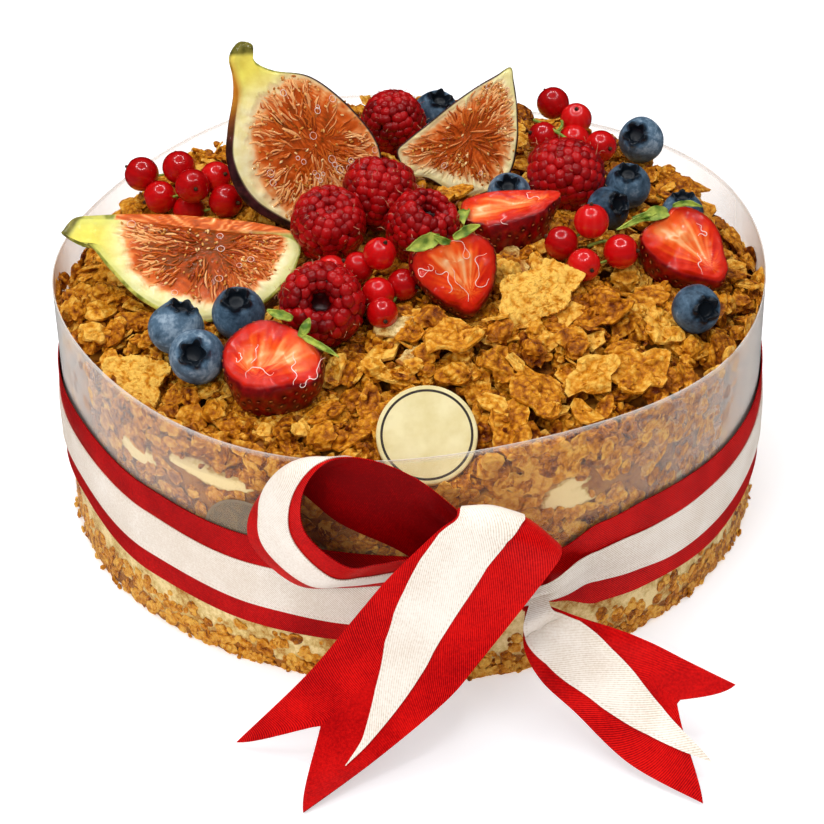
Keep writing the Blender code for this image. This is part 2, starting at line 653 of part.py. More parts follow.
def flake_mesh(rng, size, thick, corners=7, matrix=None):
    """A bent, broken-edged flake, closed, with its middle at the origin."""
    reach = [rng.uniform(0.8, 1.1) for _ in range(corners)]
    bow = rng.uniform(0.05, 0.2)

    def form(share, angle):
        corner = round(angle / math.tau * corners) % corners
        spread = (0, 1.0, 0.92, 0)[round(share * 3)] * reach[corner]
        return spread, (0.5 if share < 0.5 else -0.5)

    bm = formed_sphere(corners, 3, form)
    for vert in bm.verts:
        bend = bow * (vert.co.x ** 2 - vert.co.y ** 2 * 0.5)
        vert.co = Vector((vert.co.x * size[0], vert.co.y * size[1],
                          vert.co.z * thick + bend * size[0]))
    bm.transform(matrix)
    return bm


def build_large_flake(name, spec, seed, collection, finish):
    rng = random.Random(seed)
    place = over_heap(spec["at"], spec["lift"])
    matrix = place_facing(place, spec["face"], rng.uniform(0, math.tau))
    bm = flake_mesh(rng, spec["size"], FLAKE_THICK, 9, matrix)
    return add_object(name, bm, collection, finish)


def place_facing(place, face, spin):
    turn = Vector(face).normalized().to_track_quat("Z", "Y").to_matrix().to_4x4()
    return Matrix.Translation(place) @ turn @ Matrix.Rotation(spin, 4, "Z")


def toppings_tree(toppings):
    """One search tree over every piece that stands on the cake, in millimetres."""
    points, faces = [], []
    for obj in toppings:
        start = len(points)
        points.extend(vert.co / MM for vert in obj.data.vertices)
        faces.extend([start + index for index in face.vertices] for face in obj.data.polygons)
    return BVHTree.FromPolygons(points, faces)


def underside(tree, x, y, reach):
    """Lowest point of the toppings over a small patch round (x, y)."""
    lowest = math.inf
    for step in range(21):
        turn = step * math.tau / 10
        spread = (reach, reach / 2, 0.0)[step // 10]
        hit = tree.ray_cast(Vector((x + spread * math.cos(turn), y + spread * math.sin(turn), 0)),
                            Vector((0, 0, 1)))
        if hit[0] is not None:
            lowest = min(lowest, hit[0].z)
    return lowest


def crumb_bump(place, size):
    """Uneven crumbs: two sizes of lump."""
    coarse = noise.noise(place / 15.0)
    fine = noise.noise(place / 4.0 + Vector((40, 0, 0)))
    return size * (0.8 * coarse + 0.9 * fine)


def cake_form(tree):
    """Rows of the cake from the middle of its top, over the edge, down the side and under."""
    top_rows = (0.0, 0.14, 0.26, 0.37, 0.47, 0.56, 0.65, 0.73, 0.81, 0.88, 0.94, 0.985)
    side_rows = (0.95, 0.8, 0.64, 0.48, 0.32, 0.16)
    rows = len(top_rows) + len(side_rows) + 2

    def form(share, angle):
        row = round(share * (rows - 1))
        x_share, y_share = math.cos(angle), math.sin(angle)
        if row < len(top_rows):
            radius = CAKE_RADIUS * top_rows[row]
            x, y = radius * x_share, radius * y_share
            height = heap_height(x, y) + crumb_bump(Vector((x, y, 0)), LUMP)
            return radius, min(height, underside(tree, x, y, 7.0 if row else 3.0) - 1.3)
        if row < len(top_rows) + len(side_rows):
            rim = EDGE_HEIGHT + BACK_RISE * y_share + RIGHT_RISE * x_share
            height = rim * side_rows[row - len(top_rows)]
            place = Vector((CAKE_RADIUS * x_share, CAKE_RADIUS * y_share, height))
            return CAKE_RADIUS + max(-1, min(1, crumb_bump(place, 1.0))) * CRUMB_RELIEF / 2, height
        return (CAKE_RADIUS - 1.2, 0.0) if row == rows - 2 else (0.0, 0.0)

    return rows, form


def touches(bm, tree, clearance):
    """Whether a piece comes within the clearance of the toppings or crosses them."""
    if BVHTree.FromBMesh(bm).overlap(tree):
        return True
    for vert in bm.verts:
        near, normal, _, distance = tree.find_nearest(vert.co)
        if distance < clearance or (vert.co - near).dot(normal) < 0:
            return True
    return False


def make_flakes(rng, ground, tree, collection):
    """Flakes that lie on the heap, each part sunk in it, and clear of the toppings."""
    flakes, places = [], []
    for _ in range(4000):
        if len(flakes) == FLAKES:
            break
        radius = (CAKE_RADIUS - 9) * math.sqrt(rng.random())
        turn = rng.uniform(0, math.tau)
        spot = Vector((radius * math.cos(turn), radius * math.sin(turn), 200))
        hit, normal, _, _ = ground.ray_cast(spot, Vector((0, 0, -1)))
        size = rng.uniform(*FLAKE_RADIUS)
        face = normal + Vector((rng.uniform(-0.45, 0.45), rng.uniform(-0.45, 0.45), 0))
        matrix = place_facing(hit + normal * 0.9, face, rng.uniform(0, math.tau))
        made = flake_mesh(rng, (size, size * 0.8), FLAKE_THICK, 6, matrix)
        crowded = any((hit - place).length < 9 for place in places)
        past_edge = any(math.hypot(vert.co.x, vert.co.y) > CAKE_RADIUS for vert in made.verts)
        if crowded or past_edge or touches(made, tree, 0.9) or not ground.overlap(BVHTree.FromBMesh(made)):
            made.free()
            continue
        places.append(hit)
        flakes.append(add_object(f"flake_{len(flakes)}", made, collection))
    return flakes


def build_cake(collection, finish, toppings):
    tree = toppings_tree(toppings)
    rows, form = cake_form(tree)
    bm = formed_sphere(ROUND_SEGMENTS, rows - 1, form)
    ground = BVHTree.FromBMesh(bm)
    cake = add_object("cake", bm, collection)
    join_all(cake, make_flakes(random.Random(SEED), ground, tree, collection))
    cake.data.materials.append(finish)
    return cake


def main():
    clear_scene()
    parts = make_collection("napoleon_cake")
    clear_film = material("clear film", (0.9, 0.9, 0.92), 0.1)
    crumb = material("baked pastry crumb", (0.55, 0.29, 0.08), 0.8)
    pale_flake = material("pale pastry flake", (0.8, 0.52, 0.2), 0.8)
    red_satin = material("red satin", (0.5, 0.005, 0.01), 0.4)
    white_satin = material("white satin", (0.85, 0.78, 0.7), 0.45)
    frosted = material("frosted sticker", (0.6, 0.62, 0.62), 0.35)
    chocolate = material("white chocolate", (0.87, 0.8, 0.58), 0.4)
    raspberry = material("raspberry", (0.4, 0.01, 0.03), 0.35)
    blueberry = material("blueberry", (0.08, 0.11, 0.2), 0.45)
    strawberry = material("strawberry", (0.75, 0.03, 0.02), 0.25)
    currant = material("red currant", (0.45, 0.0, 0.01), 0.15)
    fig = material("fig", (0.55, 0.28, 0.14), 0.4)

    toppings = []
    for name, spec in RASPBERRIES.items():
        toppings.append(build_raspberry(name, spec, parts, raspberry))
    for name, spec in BLUEBERRIES.items():
        toppings.append(build_blueberry(name, spec, parts, blueberry))
    for name, spec in STRAWBERRIES.items():
        toppings.append(build_strawberry(name, spec, parts, strawberry))
    for name, spec in CURRANTS.items():
        toppings.append(build_currants(name, spec, parts, currant))
    for name, spec in FIGS.items():
        toppings.append(build_fig(name, spec, parts, fig))
    toppings.append(build_disc(parts, chocolate))
    for seed, (name, spec) in enumerate(LARGE_FLAKES.items()):
        toppings.append(build_large_flake(name, spec, seed, parts, pale_flake))
    build_cake(parts, crumb, toppings)
    build_collar(parts, clear_film)
    build_seal(parts, frosted)
    build_red_ribbon(parts, red_satin)
    build_white_ribbon(parts, white_satin)


main()
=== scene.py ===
import math
import random

import bmesh
import bpy
import numpy as np
from mathutils import Matrix, Vector, noise
from mathutils.bvhtree import BVHTree


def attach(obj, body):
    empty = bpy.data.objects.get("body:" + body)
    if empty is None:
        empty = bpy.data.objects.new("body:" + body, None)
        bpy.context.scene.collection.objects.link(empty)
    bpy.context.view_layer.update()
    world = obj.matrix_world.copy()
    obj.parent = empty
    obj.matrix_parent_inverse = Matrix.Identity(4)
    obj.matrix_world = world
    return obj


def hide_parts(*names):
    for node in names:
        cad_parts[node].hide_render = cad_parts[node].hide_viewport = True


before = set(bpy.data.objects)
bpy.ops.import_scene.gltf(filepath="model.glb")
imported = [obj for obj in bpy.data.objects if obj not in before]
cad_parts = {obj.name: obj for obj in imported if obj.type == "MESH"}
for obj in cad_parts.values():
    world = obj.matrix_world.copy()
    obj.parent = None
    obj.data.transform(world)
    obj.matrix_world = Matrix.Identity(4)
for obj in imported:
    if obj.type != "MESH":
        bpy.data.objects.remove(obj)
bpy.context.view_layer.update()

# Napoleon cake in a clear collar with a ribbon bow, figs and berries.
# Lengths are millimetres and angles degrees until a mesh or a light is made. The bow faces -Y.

mm = 0.001
print("frame loaded:", len(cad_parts), "nodes")


# Colours and nodes

def linear(hexColour):
    channels = [int(hexColour[start:start + 2], 16) / 255 for start in (1, 3, 5)]
    return (*[c / 12.92 if c <= 0.04045 else ((c + 0.055) / 1.055) ** 2.4 for c in channels], 1.0)


def addNode(tree, kind, inputs=None, stops=None, output=0, **settings):
    node = tree.nodes.new("ShaderNode" + kind)
    for name, value in settings.items():
        setattr(node, name, value)
    for name, value in (inputs or {}).items():
        if isinstance(value, bpy.types.NodeSocket):
            tree.links.new(value, node.inputs[name])
        else:
            node.inputs[name].default_value = linear(value) if isinstance(value, str) else value
    if stops:  # a colour ramp's stops, as (place, hex colour)
        ramp = node.color_ramp
        ramp.elements.remove(ramp.elements[1])
        for index, (place, colour) in enumerate(stops):
            stop = ramp.elements[0] if index == 0 else ramp.elements.new(place)
            stop.position = place
            stop.color = linear(colour)
    return node.outputs[output] if len(node.outputs) else node


def newFinish(name):
    finish = bpy.data.materials.new(name)
    finish.use_nodes = True
    finish.node_tree.nodes.clear()
    return finish, finish.node_tree


def wear(finish, surface):  # what the surface shows goes to the material's output
    addNode(finish.node_tree, "OutputMaterial", {"Surface": surface})
    return finish


def grain(size):  # noise scale for lumps of this many millimetres
    return 1 / (size * mm)


def mottledFinish(name, size, detail, stops, surface):  # one noise through one ramp of colours
    finish, tree = newFinish(name)
    place = addNode(tree, "TexCoord", output=3)
    mottle = addNode(tree, "TexNoise", {"Vector": place, "Scale": grain(size), "Detail": detail})
    colour = addNode(tree, "ValToRGB", {"Fac": mottle}, stops=stops)
    return wear(finish, addNode(tree, "BsdfPrincipled", {"Base Color": colour, **surface}))


# Meshes

def newMesh(name, points, *faceGroups):
    corners = np.concatenate([np.asarray(group, np.int32).ravel() for group in faceGroups])
    sides = np.concatenate([np.full(len(group), np.shape(group)[1]) for group in faceGroups])
    mesh = bpy.data.meshes.new(name)
    mesh.vertices.add(len(points))
    mesh.vertices.foreach_set("co", (np.asarray(points, float) * mm).astype(np.float32).ravel())
    mesh.loops.add(len(corners))
    mesh.loops.foreach_set("vertex_index", corners)
    mesh.polygons.add(len(sides))
    mesh.polygons.foreach_set("loop_start", (np.cumsum(sides) - sides).astype(np.int32))
    mesh.update(calc_edges=True)
    return mesh


def addPiece(name, mesh, finish, node=None, values=None, sharp=None):
    for label, numbers in (values or {}).items():
        layer = mesh.attributes.new(label, "FLOAT", "POINT")
        layer.data.foreach_set("value", np.asarray(numbers, np.float32))
    mesh.shade_smooth()
    if sharp:
        mesh.set_sharp_from_angle(angle=math.radians(sharp))
    mesh.materials.append(finish)
    piece = bpy.data.objects.new(name, mesh)
    bpy.context.scene.collection.objects.link(piece)
    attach(piece, "root")
    if node:
        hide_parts(*([node] if isinstance(node, str) else node))
    print(name, len(mesh.loops) - 2 * len(mesh.polygons), "triangles")
    return piece


def gridQuads(rows, columns, closed=False, start=0):
    around = columns if closed else columns - 1
    row, column = np.meshgrid(np.arange(rows - 1), np.arange(around), indexing="ij")
    row, column = row.ravel(), column.ravel()
    beside = (column + 1) % columns
    return start + np.stack([row * columns + column, row * columns + beside,
                             (row + 1) * columns + beside, (row + 1) * columns + column], axis=1)


def capFan(centre, ring, flip=False):
    after = np.roll(ring, -1)
    fan = np.stack([np.full(len(ring), centre), ring, after], axis=1)
    return fan[:, ::-1] if flip else fan


class Bin:  # gathers many shapes into one mesh
    def __init__(self):
        self.points, self.faces, self.values, self.count = [], [], {}, 0

    def put(self, points, *faceGroups, **values):
        self.points.append(points)
        self.faces += [np.asarray(faces) + self.count for faces in faceGroups]
        for label, numbers in values.items():
            self.values.setdefault(label, []).append(np.broadcast_to(numbers, len(points)))
        self.count += len(points)

    def piece(self, name, finish, node=None, slot=None, sharp=None):
        groups = {}
        for faces in self.faces:
            groups.setdefault(faces.shape[1], []).append(faces)
        mesh = newMesh(name, np.concatenate(self.points), *[np.concatenate(g) for g in groups.values()])
        values = {label: np.concatenate(numbers) for label, numbers in self.values.items()}
        return addPiece(name, mesh, finish, node, values, sharp)


def turned(axis, face=(0, -1, 0)):  # columns x, y, z: z along the axis, y towards the face
    z = np.array(axis, float) / np.linalg.norm(axis)
    y = np.array(face, float)
    y = y - z * y.dot(z)
    y /= np.linalg.norm(y)
    return np.stack([np.cross(y, z), y, z], axis=1)


def smoothstep(low, high, value):
    share = np.clip((value - low) / (high - low), 0, 1)
    return share * share * (3 - 2 * share)


def between(before, here, there, after, step):  # a smooth curve from here at step 0 to there at step 1
    return 0.5 * (2 * here + (there - before) * step
                  + (2 * before - 5 * here + 4 * there - after) * step ** 2
                  + (3 * here - before - 3 * there + after) * step ** 3)


def through(points, place):  # a smooth curve through the points, read at place counted in points
    index = min(int(place), len(points) - 2)
    before, after = points[max(index - 1, 0)], points[min(index + 2, len(points) - 1)]
    return between(before, points[index], points[index + 1], after, place - index)


def profile(points, count):  # rows of (radius, height) read smoothly through the points
    points = [np.array(point, float) for point in points]
    return np.array([through(points, place) for place in np.linspace(0, len(points) - 1, count)])


def lengthsAlong(path):  # how far along the path each of its points lies
    return np.concatenate([[0], np.cumsum(np.linalg.norm(np.diff(path, axis=0), axis=1))])


def swirl(x, y=0.0, z=0.0):
    return noise.noise(Vector((x, y, z)))


def rays(angles, reaches, fineness, rise):  # noise in streaks that run outwards from a middle
    return np.array([swirl(math.cos(angle) * fineness, math.sin(angle) * fineness, reach * rise)
                     for angle, reach in zip(angles, reaches)])


# Shapes that several pieces share

def latheShape(outline, around):  # rows of (radius, height) from low to high, both ends on the axis
    turns = np.arange(around) / around * math.tau
    inner = np.asarray(outline, float)[1:-1]
    spread = np.stack([np.outer(inner[:, 0], np.cos(turns)), np.outer(inner[:, 0], np.sin(turns)),
                       np.repeat(inner[:, 1:], around, axis=1)], axis=2)
    points = np.concatenate([[(0, 0, outline[0][1])], spread.reshape(-1, 3), [(0, 0, outline[-1][1])]])
    last = len(points) - 1
    caps = np.concatenate([capFan(0, np.arange(1, around + 1), True),
                           capFan(last, np.arange(last - around, last))])
    return points, gridQuads(len(inner), around, True, 1), caps


def ballShape(around, rows):
    turns = np.linspace(-math.pi / 2, math.pi / 2, rows)
    outline = np.stack([np.cos(turns), np.sin(turns)], axis=1)
    outline[[0, -1], 0] = 0
    return latheShape(outline, around)


def tubeShape(path, radii, around=6):  # a round strand along a path, closed at both ends
    path = np.asarray(path, float)
    ahead = np.gradient(path, axis=0)
    ahead /= np.linalg.norm(ahead, axis=1, keepdims=True) + 1e-9
    side = np.cross(ahead, (0.31, 0.22, 0.92))
    side /= np.linalg.norm(side, axis=1, keepdims=True) + 1e-9
    up = np.cross(ahead, side)
    turns = np.arange(around) / around * math.tau
    radii = np.broadcast_to(radii, len(path))[:, None, None]
    rings = path[:, None] + (side[:, None] * np.cos(turns)[None, :, None]
                             + up[:, None] * np.sin(turns)[None, :, None]) * radii
    points = np.concatenate([rings.reshape(-1, 3), path[:1], path[-1:]])
    count = len(path) * around
    caps = np.concatenate([capFan(count, np.arange(around), True),
                           capFan(count + 1, np.arange(count - around, count))])
    return points, gridQuads(len(path), around, True), caps


def bentPath(start, end, bow, count=8):  # an arc from start to end that swells out by the vector bow
    share = np.linspace(0, 1, count)[:, None]
    return np.array(start) * (1 - share) + np.array(end) * share + np.array(bow) * 4 * share * (1 - share)


def shellOf(grid, thick, closed=False):  # a thin closed sheet round a grid of points
    rows, columns = grid.shape[:2]
    padded = np.concatenate([grid[:, -1:], grid, grid[:, :1]], axis=1) if closed else grid
    across = np.gradient(padded, axis=1)
    across = across[:, 1:-1] if closed else across
    normal = np.cross(across, np.gradient(grid, axis=0))
    normal /= np.linalg.norm(normal, axis=2, keepdims=True) + 1e-9
    points = np.concatenate([(grid + normal * thick / 2).reshape(-1, 3),
                             (grid - normal * thick / 2).reshape(-1, 3)])
    quads = gridQuads(rows, columns, closed)
    count = rows * columns
    index = np.arange(count).reshape(rows, columns)
    if closed:
        loops = [index[0], index[-1][::-1]]
    else:
        loops = [np.concatenate([index[0, :-1], index[:-1, -1], index[-1, :0:-1], index[:0:-1, 0]])]
    walls = []
    for loop in loops:
        after = np.roll(loop, -1)
        walls.append(np.stack([after, loop, loop + count, after + count], axis=1))
    return points, np.concatenate([quads, quads[:, ::-1] + count, *walls])


def filledShell(grid, thick, flip=False):  # a round shell whose last ring is closed by fans
    points, faces = shellOf(grid, thick, True)
    count = len(points) // 2
    ring = np.arange(count - grid.shape[1], count)
    caps = np.concatenate([capFan(2 * count, ring, flip), capFan(2 * count + 1, ring + count, not flip)])
    middles = [points[ring].mean(axis=0), points[ring + count].mean(axis=0)]
    return np.concatenate([points, middles]), faces, caps


def bothSides(numbers):  # a grid's values for the upper and the lower side of its shell
    return np.tile(np.asarray(numbers).ravel(), 2)


def eased(points, place):  # the value at place, eased between (place, value) points
    starts, values = np.array(points, float).T
    index = np.clip(np.searchsorted(starts, place, side="right") - 1, 0, len(starts) - 2)
    step = np.clip((place - starts[index]) / (starts[index + 1] - starts[index]), 0, 1)
    return values[index] + (values[index + 1] - values[index]) * step * step * (3 - 2 * step)


def rough(points, size, amount, shift=0.0):  # noise read at the points, for uneven skins
    return np.array([swirl(x / size + shift, y / size, z / size) for x, y, z in points]) * amount


# The cake's own form

cake = {"collar": 110.0, "collarHeight": 80.0, "wave": 2.2, "wavePeak": -69.0,
        "radius": 108.35, "edge": 73.5, "backRise": 5.5, "rightRise": 1.5, "heap": 17.0, "leftDrop": 14.0,
        "rightDrop": 12.0, "backDrop": 3.2}


def heapHeight(x, y):
    share = np.minimum(np.hypot(x, y) / cake["radius"], 0.999)
    rim = cake["edge"] + (cake["backRise"] * y + cake["rightRise"] * x) / cake["radius"]
    return rim + cake["heap"] * (1 - share ** 2) ** 0.6


def looseTop(x, y):  # the crumbs sink towards the film at the two sides
    reach = np.hypot(x, y)
    drop = np.where(np.asarray(x) < 0, cake["leftDrop"], cake["rightDrop"])
    drop = drop * smoothstep(0.8, 1.0, reach / cake["radius"]) * smoothstep(-25, 40, np.asarray(y, float))
    drop = drop * np.abs(x) / np.maximum(reach, 1)
    return heapHeight(x, y) - np.maximum(drop, cake["backDrop"] * smoothstep(30, 70, np.asarray(y, float)))


def overHeap(at, lift):
    return np.array((at[0], at[1], heapHeight(*at) + lift))


def onCollar(angle, radius, height):
    turn = math.radians(angle)
    return np.array((radius * math.cos(turn), radius * math.sin(turn), height))


# Camera, floor and lights

view = {"lift": 34.0, "distance": 781.0, "aim": 21.45, "lens": 105.33, "roll": 1.25}


def addCamera():
    lift = math.radians(view["lift"])
    back = Vector((0, -math.cos(lift), math.sin(lift)))
    place = (Vector((0, 0, view["aim"])) + back * view["distance"]) * mm
    camera = bpy.data.cameras.new("camera")
    camera.sensor_width, camera.lens, camera.clip_start = 36, view["lens"], 0.01
    holder = bpy.data.objects.new("camera", camera)
    bpy.context.scene.collection.objects.link(holder)
    holder.matrix_world = (Matrix.Translation(place) @ back.to_track_quat("Z", "Y").to_matrix().to_4x4()
                           @ Matrix.Rotation(-math.radians(view["roll"]), 4, "Z"))
    bpy.context.scene.camera = holder


light = {"top": 3.4, "topSize": 0.7, "front": 4.2, "frontSize": 0.5, "sky": 0.36, "table": 0.5,
         "ring": 46.0, "ringHigh": 900, "ringRadius": 430, "ringWidth": 15}


def addLamp(name, place, aim, size, power):
    lamp = bpy.data.lights.new(name, "AREA")
    lamp.shape, lamp.size, lamp.energy = "DISK", size, power
    holder = bpy.data.objects.new(name, lamp)
    bpy.context.scene.collection.objects.link(holder)
    holder.location = Vector(place) * mm
    away = Vector(place) - Vector(aim)
    holder.rotation_euler = away.to_track_quat("Z", "Y").to_euler()
    holder.visible_glossy = False  # wet fruit shows the ring lamp alone


def addLights():
    addLamp("softboxAbove", (-180, 120, 1100), (0, 0, 60), light["topSize"], light["top"])
    addLamp("softboxFront", (-500, -900, 700), (0, 0, 40), light["frontSize"], light["front"])
    world = bpy.data.worlds.new("paleStudio")
    world.use_nodes = True
    world.node_tree.nodes["Background"].inputs["Color"].default_value = linear("#FFFFFF")
    world.node_tree.nodes["Background"].inputs["Strength"].default_value = light["sky"]
    world.cycles_visibility.glossy = False  # dark berries stay dark, with only the lamps' glints on them
    bpy.context.scene.world = world
    # ring lamp overhead, seen only as the small round glints on wet fruit
    finish, tree = newFinish("ringLampGlow")
    wear(finish, addNode(tree, "Emission", {"Color": "#FFFFFF", "Strength": light["ring"]}))
    turns = np.linspace(0, math.tau, 64, endpoint=False)
    rows = [np.stack([radius * np.cos(turns), radius * np.sin(turns), np.full(64, light["ringHigh"])], axis=1)
            for radius in (light["ringRadius"], light["ringRadius"] + light["ringWidth"])]
    ring = bpy.data.objects.new("ringLamp", newMesh("ringLamp", np.concatenate(rows), gridQuads(2, 64, True)))
    ring.data.materials.append(finish)
    ring.visible_camera = ring.visible_shadow = False
    bpy.context.scene.collection.objects.link(ring)


def addFloor():
    finish, tree = newFinish("backlitPaleTable")
    paper = addNode(tree, "BsdfDiffuse", {"Color": "#DCDCE0"})
    glow = addNode(tree, "Emission", {"Color": "#FFFFFF", "Strength": light["table"]})
    wear(finish, addNode(tree, "AddShader", {0: paper, 1: glow}))
    corners = [(-4000, -4000, 0), (4000, -4000, 0), (4000, 4000, 0), (-4000, 4000, 0)]
    floor = bpy.data.objects.new("floor", newMesh("floor", corners, [(0, 1, 2, 3)]))
    floor.data.materials.append(finish)
    floor.visible_glossy = False
    bpy.context.scene.collection.objects.link(floor)


addCamera()
addLights()
addFloor()
bpy.context.scene.view_settings.view_transform = "Standard"
print("camera, lights and floor")


# Pastry: puff pastry baked dark gold and crushed, so each crumb differs; its raised skin is painted palest
# and its hollows darker, as painted light and shade

pastry = {"dark": "#5A1E00", "deep": "#A65C08", "gold": "#D88C1A", "pale": "#F7C256",
          "lump": 5.0, "fine": 0.8, "blister": 1.9, "bend": 1.6, "base": 0.22}


def bakedPastry(name, shift=0.0, creased=-0.3):
    finish, tree = newFinish(name)
    place = addNode(tree, "TexCoord", output=3)
    tone, ridge = (addNode(tree, "Attribute", attribute_name=label, output=2) for label in ("tone", "ridge"))
    broad = addNode(tree, "TexNoise", {"Vector": place, "Scale": grain(pastry["lump"]), "Detail": 3.0})
    fine = addNode(tree, "TexNoise", {"Vector": place, "Scale": grain(pastry["fine"]), "Detail": 3.0,
                                      "Roughness": 0.6})
    bend = addNode(tree, "TexNoise", {"Vector": place, "Scale": grain(pastry["bend"]), "Detail": 1.0},
                   output=1)
    bent = addNode(tree, "VectorMath", {0: bend, 1: (pastry["bend"] * mm,) * 3, 2: place},
                   operation="MULTIPLY_ADD")
    # blisters of steam in the dough: round tops, with painted shade darkening the creases between them
    crease = addNode(tree, "TexVoronoi", {"Vector": bent, "Scale": grain(pastry["blister"])})
    mixed = shift + pastry["base"]
    # ridge paints raised parts paler and hollows darker, and crease darkens the creases: painted light and
    # shade
    for part, weight in ((tone, 0.46), (ridge, 0.36), (broad, 0.16), (fine, 0.3), (crease, creased)):
        mixed = addNode(tree, "Math", {0: part, 1: weight, 2: mixed}, operation="MULTIPLY_ADD")
    colour = addNode(tree, "ValToRGB", {"Fac": mixed}, stops=(
        (0.2, pastry["dark"]), (0.4, pastry["deep"]), (0.58, pastry["gold"]), (0.82, pastry["pale"])))
    relief = addNode(tree, "Math", {0: crease, 1: -1.0, 2: fine}, operation="MULTIPLY_ADD")
    bump = addNode(tree, "Bump", {"Height": relief, "Strength": 0.8, "Distance": 0.8 * mm})
    return wear(finish, addNode(tree, "BsdfPrincipled", {
        "Base Color": colour, "Roughness": 0.4, "Normal": bump, "Specular IOR Level": 0.25}))


def lumpShape(level, seed, nodules):  # a crumb with round swellings
    bm = bmesh.new()
    bmesh.ops.create_icosphere(bm, subdivisions=level, radius=1.0)
    ridges = []
    for vert in bm.verts:
        away = vert.co.copy()
        near = noise.voronoi(away * nodules + Vector((seed * 3.1, 5, 0)))[0][0]
        ridge = 0.45 - near
        vert.co *= 1 + 0.3 * noise.noise(away * 1.2 + Vector((seed * 7.3, 0, 0))) + 0.5 * ridge
        # the ridge value paints the swellings paler and the hollows between them darker: painted light and
        # shade
        ridges.append(ridge * 1.6)
    points = np.array([vert.co[:] for vert in bm.verts])
    faces = np.array([[vert.index for vert in face.verts] for face in bm.faces])
    bm.free()
    return points, faces, np.array(ridges)


def flakeShape(rings, around, seed, thick, wrinkle=1.0):  # a broken sheet of pastry
    rng = random.Random(seed)
    curl = rng.uniform(-0.25, 0.35)
    rows = []
    for ring in range(rings + 1):
        for column in range(around):
            turn = column / around * math.tau
            c, s = math.cos(turn), math.sin(turn)
            reach = 1 + 0.45 * swirl(c * 1.1, s * 1.1, seed * 5.3)
            reach += 0.25 * swirl(c * 3.2, s * 3.2, seed * 2.7)
            share = ring / rings
            x, y = share * reach * c, share * reach * s * 0.8
            fold = abs(swirl(x * 2.6, y * 2.6, seed)) * 0.22 + abs(swirl(x * 6, y * 6, seed + 9)) * 0.14
            height = curl * (x * x - 0.5 * y * y) + 0.16 * swirl(x * 1.4, y * 1.4, seed + 4) + wrinkle * fold
            rows.append((x, y, height, share, fold))
            if ring == 0:
                break
    rows = np.array(rows)
    half = np.outer(thick * (1 - 0.4 * rows[:, 3]), (0, 0, 1))
    top, low = rows[:, :3] + half, rows[:, :3] - half
    count = len(rows)
    faces = [capFan(0, np.arange(1, around + 1))]
    for ring in range(rings - 1):
        quads = gridQuads(2, around, True, 1 + ring * around)[:, ::-1]
        faces += [quads[:, [0, 1, 2]], quads[:, [0, 2, 3]]]
    faces = np.concatenate(faces)
    under = faces[:, ::-1] + count
    rim = np.arange(count - around, count)
    after = np.roll(rim, -1)
    side = np.concatenate([np.stack([rim, rim + count, after + count], axis=1),
                           np.stack([rim, after + count, after], axis=1)])
    # the ridge value paints raised folds paler and the underside darker, as painted light and shade; the rim
    # is drawn paler
    ridge = rows[:, 4] * 3.2 - 0.35 + 0.25 * rows[:, 3] ** 3
    ridge = np.concatenate([ridge, ridge - 0.2])
    return np.concatenate([top, low]), np.concatenate([faces, under, side]), ridge


# What stands on the heap keeps the crumbs off: its underside as a map in 1 mm steps

mapHalf = 111


def toppingTree():
    points, faces = [], []
    for name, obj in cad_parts.items():
        if name in ("cake", "collar_film", "collar_seal", "ribbon_red", "ribbon_white"):
            continue
        start = len(points)
        points.extend(vert.co / mm for vert in obj.data.vertices)
        faces.extend([start + index for index in face.vertices] for face in obj.data.polygons)
    return BVHTree.FromPolygons(points, faces)


def undersides(tree):
    size = 2 * mapHalf + 1
    ceiling = np.full((size, size), 1e3)
    for row in range(size):
        for column in range(size):
            x, y = column - mapHalf, row - mapHalf
            if x * x + y * y < mapHalf * mapHalf:
                hit = tree.ray_cast(Vector((x, y, 0)), Vector((0, 0, 1)))[0]
                if hit is not None:
                    ceiling[row, column] = hit.z
    return ceiling


crumbs = {"seed": 5, "bed": 4.6, "rise": 3.4, "filmGap": 0.9, "buried": 1.2,
          "small": 5600, "nuggets": 2300, "lumps": 560, "flakes": 860, "wideFlakes": 135,
          "firstNuggets": 1500, "firstSmall": 1200, "tries": 3,
          "flakeThick": 0.12, "lumpThick": 0.38, "flakeLevel": 72, "lumpLevel": 45}


def randomTurn(rng, normal, tilt):  # z near the normal, then a random spin
    z = np.asarray(normal, float) + rng.normal(0, tilt, 3)
    z /= np.linalg.norm(z)
    x = np.cross(z, rng.normal(0, 1, 3))
    x /= np.linalg.norm(x)
    return np.stack([x, np.cross(z, x), z], axis=1)


def crumbKinds():  # shapes, size range, tilt, how flat, how many
    return {
        "crumbsSmall": ([lumpShape(1, seed, 1.5) for seed in range(8)],
                        (0.7, 1.7), 1.0, 0.8, crumbs["small"]),
        "crumbsNuggets": ([lumpShape(2, seed, 1.7) for seed in range(14)],
                          (1.5, 3.2), 0.6, 0.75, crumbs["nuggets"]),
        "crumbsLumps": ([lumpShape(3, seed, 2.1) for seed in range(14)],
                        (3.0, 5.2), 0.35, 0.62, crumbs["lumps"]),
        "flakesSmall": ([flakeShape(3, 10, seed, 0.13) for seed in range(20)],
                        (2.6, 6.0), 0.5, 1.0, crumbs["flakes"]),
        "flakesWide": ([flakeShape(7, 22, seed, 0.07) for seed in range(30, 46)],
                       (6.0, 11.5), 0.28, 1.0, crumbs["wideFlakes"])}


